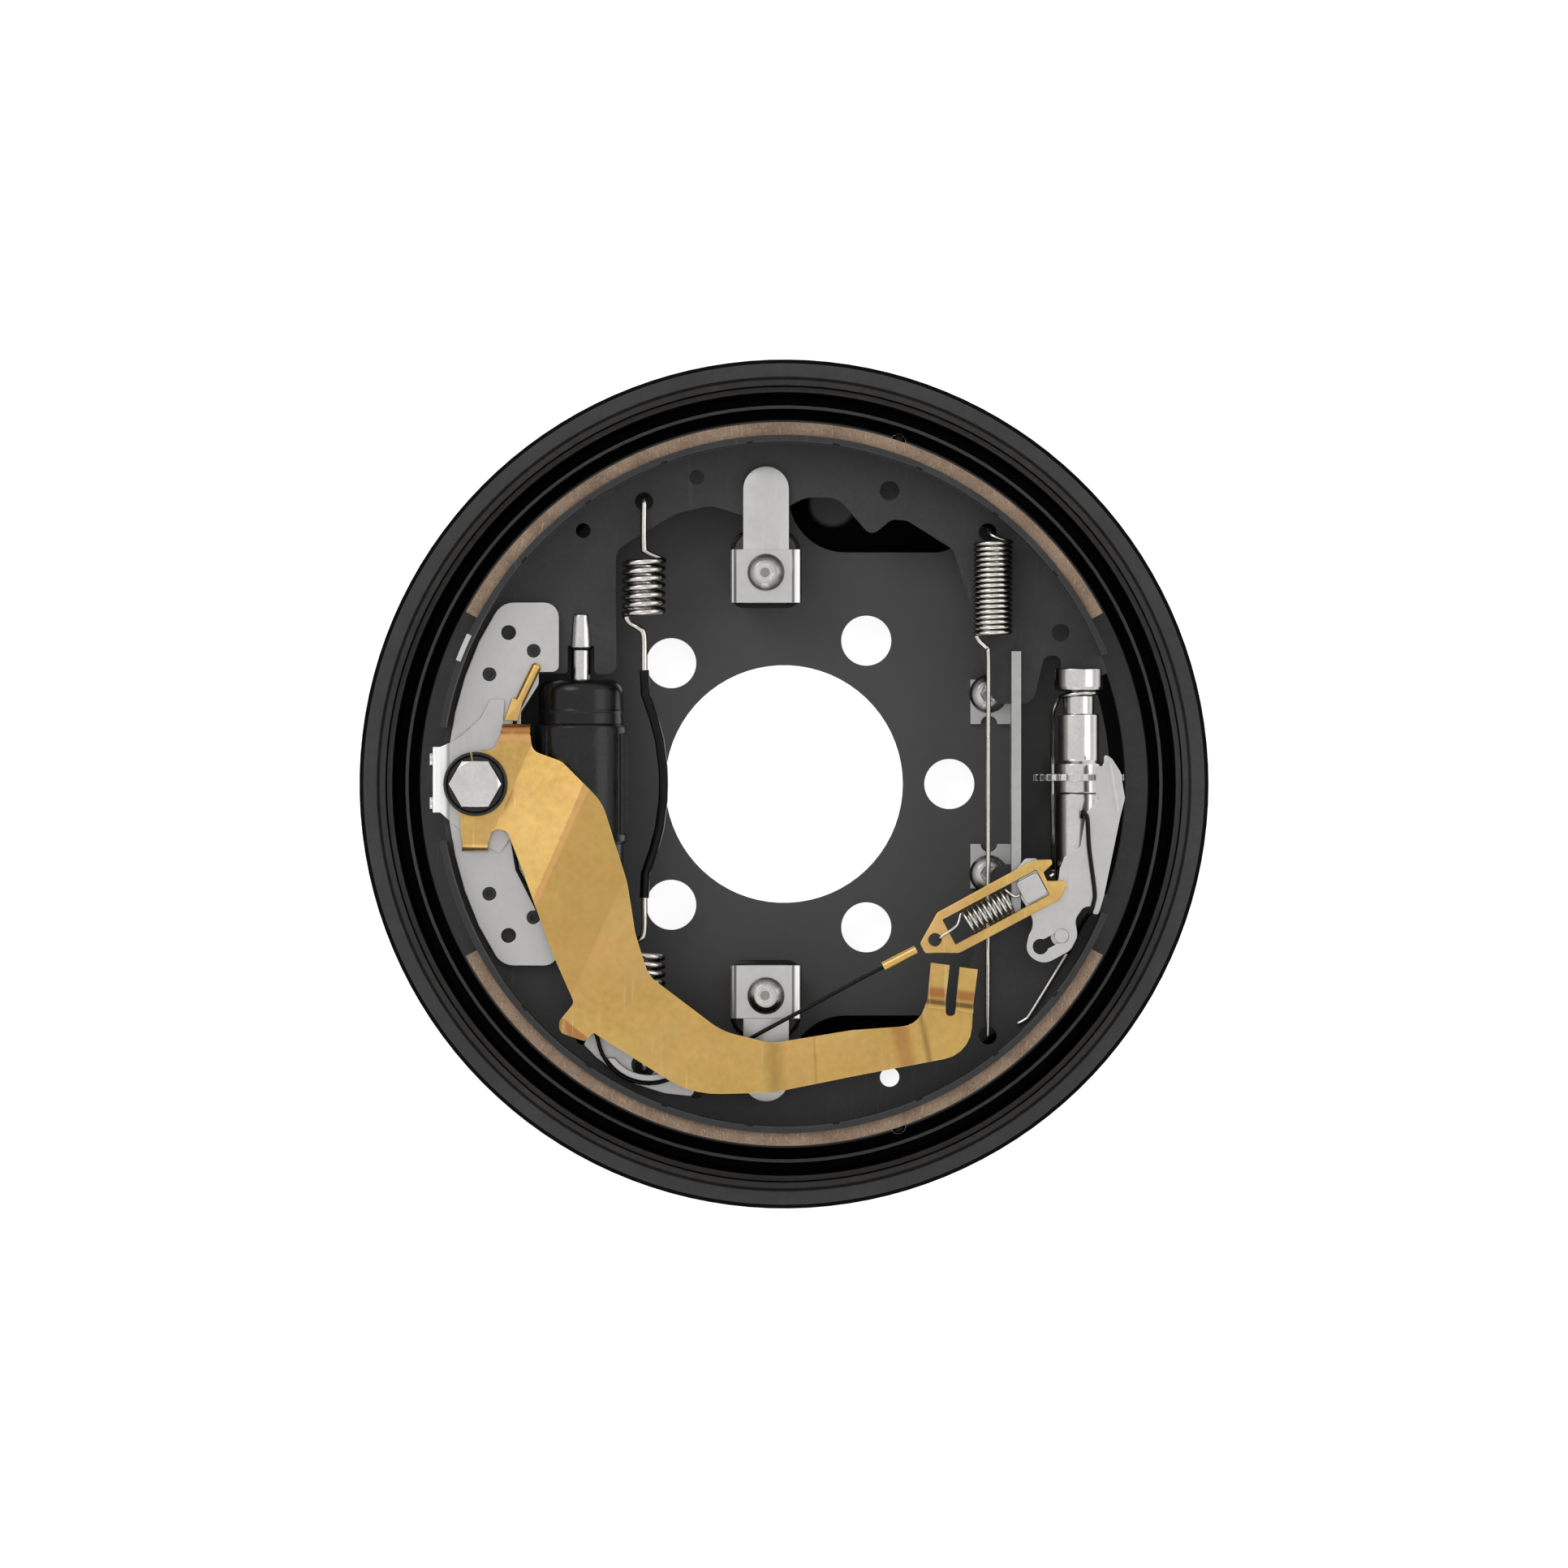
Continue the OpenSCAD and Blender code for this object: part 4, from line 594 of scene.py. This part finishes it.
lower_left = drawn_wire("left_return_spring_lower", smooth_route(left_lower + [(x, -y, z) for x, y, z in sheath_half[1:3]],
                                                                 0.9), 1.35, 12, spring_wire)
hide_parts("left_return_spring")
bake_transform(upper_left)
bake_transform(lower_left)

# Right return spring: one coil at the upper shoe and a long straight wire to the lower shoe
RIGHT_Z = WEB_Z1 + 7.3 + 1.0 + 0.5
right_x, right_y = 86.0, 106.3
right_top = [(right_x, right_y + 1.5, WEB_Z0 - 1.2), (right_x, right_y + 1.4, MID_Z), (right_x, right_y + 1.2, WEB_Z1 + 2),
             (right_x + 0.6, right_y + 0.4, RIGHT_Z - 3.2), (right_x + 2, right_y - 1.6, RIGHT_Z - 0.8),
             (right_x + 5, right_y - 3, RIGHT_Z)]
right_top += turns_along_y(88.1, RIGHT_Z, 7.3, 102, 63.2, 17.5, 14)
right_top += [(82.4, 60.2, RIGHT_Z - 1), (85, 57.6, RIGHT_Z - 2.2), (86.2, 54, RIGHT_Z - 3), (86.2, 20, RIGHT_Z - 3.27)]
right_foot = [(86.2, 20.3, RIGHT_Z - 3.27), (86.2, 0, RIGHT_Z - 3.4), (86, -98, WEB_Z1 + 3.4), (86, -101.8, WEB_Z1 + 2.4),
              (86, -103.8, WEB_Z1 + 0.6), (86, -104.8, WEB_Z0), (86, -105.2, WEB_Z0 - 1.2)]
upper_right = drawn_wire("right_return_spring_upper", smooth_route(right_top, 0.8), 1.0, 10, spring_wire)
lower_right = drawn_wire("right_return_spring_lower", smooth_route(right_foot, 1.5), 1.0, 10, spring_wire)
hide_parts("right_return_spring")
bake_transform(upper_right)
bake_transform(lower_right)

# Spring of the yoke, from its hook on the lever to the cable's crimp
YOKE_Z = 61.2
yoke_turn = math.radians(28)


def on_yoke(along, across, up):
    return (63.5 + along * math.cos(yoke_turn) - across * math.sin(yoke_turn),
            -65.5 + along * math.sin(yoke_turn) + across * math.cos(yoke_turn), YOKE_Z + up)


yoke_turns = [(15.4 + 20.4 * i / 126, 4.95 * math.cos(2 * math.pi * i / 14), 4.95 * math.sin(2 * math.pi * i / 14))
              for i in range(127)]
yoke_wire = [(2.4, -1.6, -2.2), (2.2, -0.6, 0.4), (3, 0, 1.7), (7.6, 0.4, 1.8), (11.6, 1.4, 0.9), (14.6, 4.4, 0)]
yoke_wire += yoke_turns + [(36.6, 3, 1.5), (37.6, 1, 1.4), (38.8, 0, 0.6), (40.6, 0, 0)]
tension = drawn_wire("yoke_tension_spring", smooth_route([on_yoke(*p) for p in yoke_wire], 0.6), 0.62, 10, spring_wire)
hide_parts("yoke_spring")
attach(tension, "yoke")

# Outline of the yoke, with its eye and its window
def yoke_loop(corners):
    return rounded([(on_yoke(a, c, 0)[0], on_yoke(a, c, 0)[1], r) for a, c, r in corners])


yoke_rim = yoke_loop([(-6.4, 1.6, 1.6), (6.2, 9.7, 2.5), (52.4, 10.2, 3), (59.2, 6.8, 0.8), (58.4, 4.9, 0.5), (53.5, 3.6, 0.6),
                      (53.2, -0.4, 0.6), (59.8, -3.5, 1), (59.6, -6, 1), (54.2, -9.7, 2.5), (6.6, -9.8, 2.5), (-6.4, -3, 1.6)])
yoke_window = yoke_loop([(6.8, -5.7, 0.4), (51.4, -5.7, 0.4), (51.4, 5.9, 0.4), (6.8, 5.9, 0.4)])
yoke_hole = [Vector((on_yoke(2.7 * math.cos(0.26 * i), 2.7 * math.sin(0.26 * i), 0)[:2])) for i in range(24)]
yoke_sheet = cut_plate("yoke_sheet", [yoke_rim, yoke_window, yoke_hole], 60.2, 62.2, gold_zinc)
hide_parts("yoke")
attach(yoke_sheet, "yoke")

# Hold-down springs: one sheet with a tongue over the web and its two sides rolled over the seat
CLIP_Z1 = 44.2
for side, way in (("upper", 1), ("lower", -1)):
    tongue = [Vector((-7.6 + 9.65 * math.cos(math.pi * i / 24), way * (124.4 + 9.65 * math.sin(math.pi * i / 24))))
              for i in range(25)] + [Vector((-17.25, way * 97)), Vector((2.05, way * 97))]
    sheet = cut_plate(side + "_hold_down_tongue", [tongue], CLIP_Z1 - 1.5, CLIP_Z1 - 0.03, zinc_sheet, 0.1)
    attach(sheet, "root")
    outer = [(-22.6, 41.05)] + [(-20.5 + 2.1 * math.cos(a), CLIP_Z1 - 2.1 + 2.1 * math.sin(a))
                                for a in (math.pi - math.pi / 2 * i / 8 for i in range(9))]
    outer += [(-15.2 - outer[i][0], outer[i][1]) for i in range(len(outer) - 1, -1, -1)]
    inner = [(-7.6 + (x + 7.6) * 0.9, 41.05 + (z - 41.05) * 0.55) for x, z in outer]
    ring = outer + inner[::-1]
    count = len(ring)
    verts = [Vector((x, way * y, z)) * MM for y in (76.5, 99.0) for x, z in ring]
    faces = [(i, (i + 1) % count, (i + 1) % count + count, i + count) for i in range(count)]
    half = count // 2
    for first in (0, count):
        faces += [(first + i, first + i + 1, first + count - 2 - i, first + count - 1 - i) for i in range(half - 1)]
    rolled = meshed(side + "_hold_down_spring", verts, faces, rolled_zinc, 30)
    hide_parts(side + "_hold_down_clip")
    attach(rolled, "root")
    block = rounded([(-20.9, way * 76.3, 5), (5.3, way * 76.3, 5), (5.3, way * 106.1, 8), (-20.9, way * 106.1, 8)])
    seat = cut_plate(side + "_seat_block", [block], 16, 41.0, shoe_coat, 0.4)
    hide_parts(side + "_hold_down_seat")
    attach(seat, "root")
    # Painted shade: a thin black ring laid flat on the plate round each seat, standing in for the shade of a pocket
    # gap.
    shadow_outline = rounded([(-22.8, way * 74.6, 6), (7.1, way * 74.6, 6), (7.1, way * 107.9, 9.5), (-22.8, way * 107.9, 9.5)])
    shadow = cut_plate(side + "_seat_shadow_ring", [shadow_outline, block], 15.9, 16.08, black_wire, 0.02)
    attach(shadow, "root")

# Spring ring round the head of the anchor bolt, split at the top
RING_Z0 = 55.4
ring_turn = [math.radians(98 + 2 + 356 * i / 96) for i in range(97)]
verts = []
for turn in ring_turn:
    flat = 9.6 / math.cos(turn % (math.pi / 3) - math.pi / 6)
    for radius, height in ((flat, 0), (flat, 1.1), (11.7, 1.1), (12.0, 1.9), (12.4, 2.2), (13.1, 2.2), (13.5, 1.8), (13.5, 0)):
        verts.append(Vector((-129.9 + radius * math.cos(turn), radius * math.sin(turn), RING_Z0 + height)) * MM)
faces = [(i * 8 + j, i * 8 + (j + 1) % 8, (i + 1) * 8 + (j + 1) % 8, (i + 1) * 8 + j) for i in range(96) for j in range(8)]
faces += [tuple(range(8))[::-1], tuple(range(96 * 8, 97 * 8))]
ring_piece = meshed("split_ring", verts, faces, black_oxide, 30)
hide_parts("lock_ring")
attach(ring_piece, "root")

# Strip of the cable's end fitting, from behind the lever's tab to the tube
strip = rounded([(-114.6, 36.4, 0.6), (-110.0, 35.0, 0.6), (-112.2, 26.4, 0), (-118, 26.8, 0)])
strip_piece = cut_plate("cable_end_strip", [strip], 49.0, 50.1, gold_zinc, 0.3)
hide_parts("cable_end_fitting")
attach(strip_piece, "root")
tube = drawn_wire("cable_end_tube", smooth_route([(-112.2, 33.4, 48), (-104.3, 49.7, 48)], 1), 2.1, 20, gold_zinc)
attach(tube, "root")

# Bare strip and weld marks on the front edge of the shoes' tables
TABLE_Z = 66.0


def table_patch(name, patches, way, material, body):
    """Flat patches on the front edge of a table: each is from_angle, to_angle, inner and outer radius."""
    verts, faces = [], []
    for a0, a1, r0, r1 in patches:
        steps = max(2, round(abs(a1 - a0) * 2))
        first = len(verts)
        for i in range(steps + 1):
            angle = math.radians(a0 + (a1 - a0) * i / steps)
            for radius in (r0, r1):
                for height in (TABLE_Z - 0.3, TABLE_Z + 0.06):
                    verts.append(Vector((radius * math.cos(angle), way * radius * math.sin(angle), height)) * MM)
        for i in range(steps):
            a = first + 4 * i
            faces += [(a + 1, a + 3, a + 7, a + 5), (a, a + 1, a + 5, a + 4), (a + 2, a + 6, a + 7, a + 3)]
        b = first + 4 * steps
        faces += [(first, first + 2, first + 3, first + 1), (b, b + 1, b + 3, b + 2)]
    made = meshed(name, verts, faces, material, 30)
    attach(made, body)


WELDS = [(a, a + 1.1, 143.9, 144.6) for a in (37.2, 51.3, 66.2, 80.7, 95.2, 109.9, 124.2, 138.7)]
table_patch("upper_weld_marks", WELDS, 1, black_wire, "upper_shoe")
table_patch("lower_weld_marks", WELDS, -1, black_wire, "lower_shoe")
for side, way in (("upper", 1), ("lower", -1)):
    rim_plug = [Vector((48.5 + 3.15 * math.cos(math.pi * i / 16), way * 145.5 + 3.15 * math.sin(math.pi * i / 16)))
                for i in range(32)]
    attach(cut_plate(side + "_rim_hole_plug", [rim_plug], 0.4, 1.8, black_wire, 0.2), "root")
table_patch("upper_table_bare_strip", [(154.6, 159.3, 145.3, 147.4)], 1, zinc_sheet, "upper_shoe")

# Wire link from the adjuster's cap round the star wheel to the lever
link_x = 124.4 - 10.6
link = [(124.4 + 7.4 * math.cos(a), 38.4 - 1.5 * max(0, -math.cos(a)), MID_Z + 7.4 * math.sin(a))
        for a in (math.radians(-20 + 200 * i / 8) for i in range(9))]
link += [(115.4, 35, 35.5), (link_x, 30, 32), (link_x, 20, 24), (link_x, 10, 17.7), (link_x, -6, 17.7), (link_x, -24, 26),
         (link_x - 0.4, -33, 36), (link_x - 0.4, -37, 44)]
link_wire = drawn_wire("adjuster_link_wire", smooth_route(link, 1), 0.95, 10, spring_wire)
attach(link_wire, "adjuster_end")

# Black hairpin spring that swings the adjuster lever back
LEVER_Z1 = 59.9
hair_z = LEVER_Z1 + 0.95
hairpin = [(125.6, -14, 56.1), (125.7, -12, 58.5), (125.8, -11.8, LEVER_Z1 + 0.5), (126.6, -12.6, hair_z + 0.1),
           (127.6, -15, hair_z), (128.4, -27.6, hair_z), (130.6, -44.8, hair_z), (130.2, -50, hair_z),
           (129, -53.6, hair_z - 0.4), (127.2, -56.2, hair_z - 4), (125.6, -59, hair_z - 9), (123.2, -63.8, WEB_Z1 + 4),
           (119.5, -71.6, WEB_Z1 + 2), (104.7, -95.8, WEB_Z1 + 1.6), (101.8, -99.4, WEB_Z1 + 1.4),
           (98.8, -101, WEB_Z1 + 1.2)]
hairpin_spring = drawn_wire("lever_hairpin_spring", smooth_route(hairpin[:13], 0.8), 0.95, 10, black_wire)
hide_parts("lever_return_spring")
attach(hairpin_spring, "lower_shoe")
hairpin_leg = drawn_wire("lever_hairpin_leg", smooth_route(hairpin[12:], 0.8), 0.95, 10, spring_wire)
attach(hairpin_leg, "lower_shoe")


# Camera, floor, light and white surroundings

eye = bpy.data.cameras.new("straight_on_camera")
eye.lens, eye.sensor_width = 300, 36
eye.clip_start, eye.clip_end = 0.1, 50
camera = bpy.data.objects.new("straight_on_camera", eye)
camera.location = (0, 0, 0.6624 * 300 / 36 + 0.036)
bpy.context.scene.collection.objects.link(camera)
bpy.context.scene.camera = camera

floor_mesh = bpy.data.meshes.new("pale_floor")
floor_mesh.from_pydata([(-6, -6, -0.0006), (6, -6, -0.0006), (6, 6, -0.0006), (-6, 6, -0.0006)], [], [(0, 1, 2, 3)])
pale_floor = bpy.data.objects.new("pale_floor", floor_mesh)
bpy.context.scene.collection.objects.link(pale_floor)
floor_paint, tree, surface = blank("floor_paint")
surface.inputs["Base Color"].default_value = (0.82, 0.82, 0.82, 1)
surface.inputs["Roughness"].default_value = 0.9
seen = put(tree, "LightPath")
glow = put(tree, "Emission", Strength=0.85)
lit = sum_of(tree, "MAXIMUM", seen.outputs["Is Camera Ray"], seen.outputs["Is Glossy Ray"])
lit = sum_of(tree, "MAXIMUM", lit, seen.outputs["Is Transmission Ray"])
white = put(tree, "AddShader")
tree.links.new(surface.outputs[0], white.inputs[0])
tree.links.new(glow.outputs[0], white.inputs[1])
pick = put(tree, "MixShader", Fac=lit)
tree.links.new(surface.outputs[0], pick.inputs[1])
tree.links.new(white.outputs[0], pick.inputs[2])
out = next(n for n in tree.nodes if n.type == "OUTPUT_MATERIAL")
tree.links.new(pick.outputs[0], out.inputs[0])
floor_mesh.materials.append(floor_paint)


def soft_lamp(name, place, size, power):
    """A square soft light that faces the brake."""
    lamp = bpy.data.lights.new(name, "AREA")
    lamp.shape, lamp.size, lamp.energy = "SQUARE", size, power
    made = bpy.data.objects.new(name, lamp)
    made.location = place
    made.rotation_euler = (Vector((0, 0, 0.03)) - Vector(place)).to_track_quat("-Z", "Y").to_euler()
    bpy.context.scene.collection.objects.link(made)


soft_lamp("upper_left_softbox", (-0.75, 0.85, 1.15), 0.7, 5.2)
soft_lamp("right_softbox", (1.1, 0.25, 0.9), 0.8, 2.6)
soft_lamp("lower_softbox", (-0.1, -1.2, 0.9), 0.8, 2.0)

surroundings = bpy.data.worlds.new("white_surroundings")
surroundings.use_nodes = True
bpy.context.scene.world = surroundings
tree = surroundings.node_tree
tree.nodes.clear()
seen = put(tree, "LightPath")
lit = sum_of(tree, "MAXIMUM", seen.outputs["Is Camera Ray"], seen.outputs["Is Glossy Ray"])
lit = sum_of(tree, "MAXIMUM", lit, seen.outputs["Is Transmission Ray"])
level = band(tree, lit, 0, 1, 0.56, 1.0)
sky = put(tree, "Background", Color=(1, 1, 1, 1), Strength=level)
tree.links.new(sky.outputs[0], put(tree, "OutputWorld").inputs[0])

bpy.context.scene.view_settings.view_transform = "Standard"
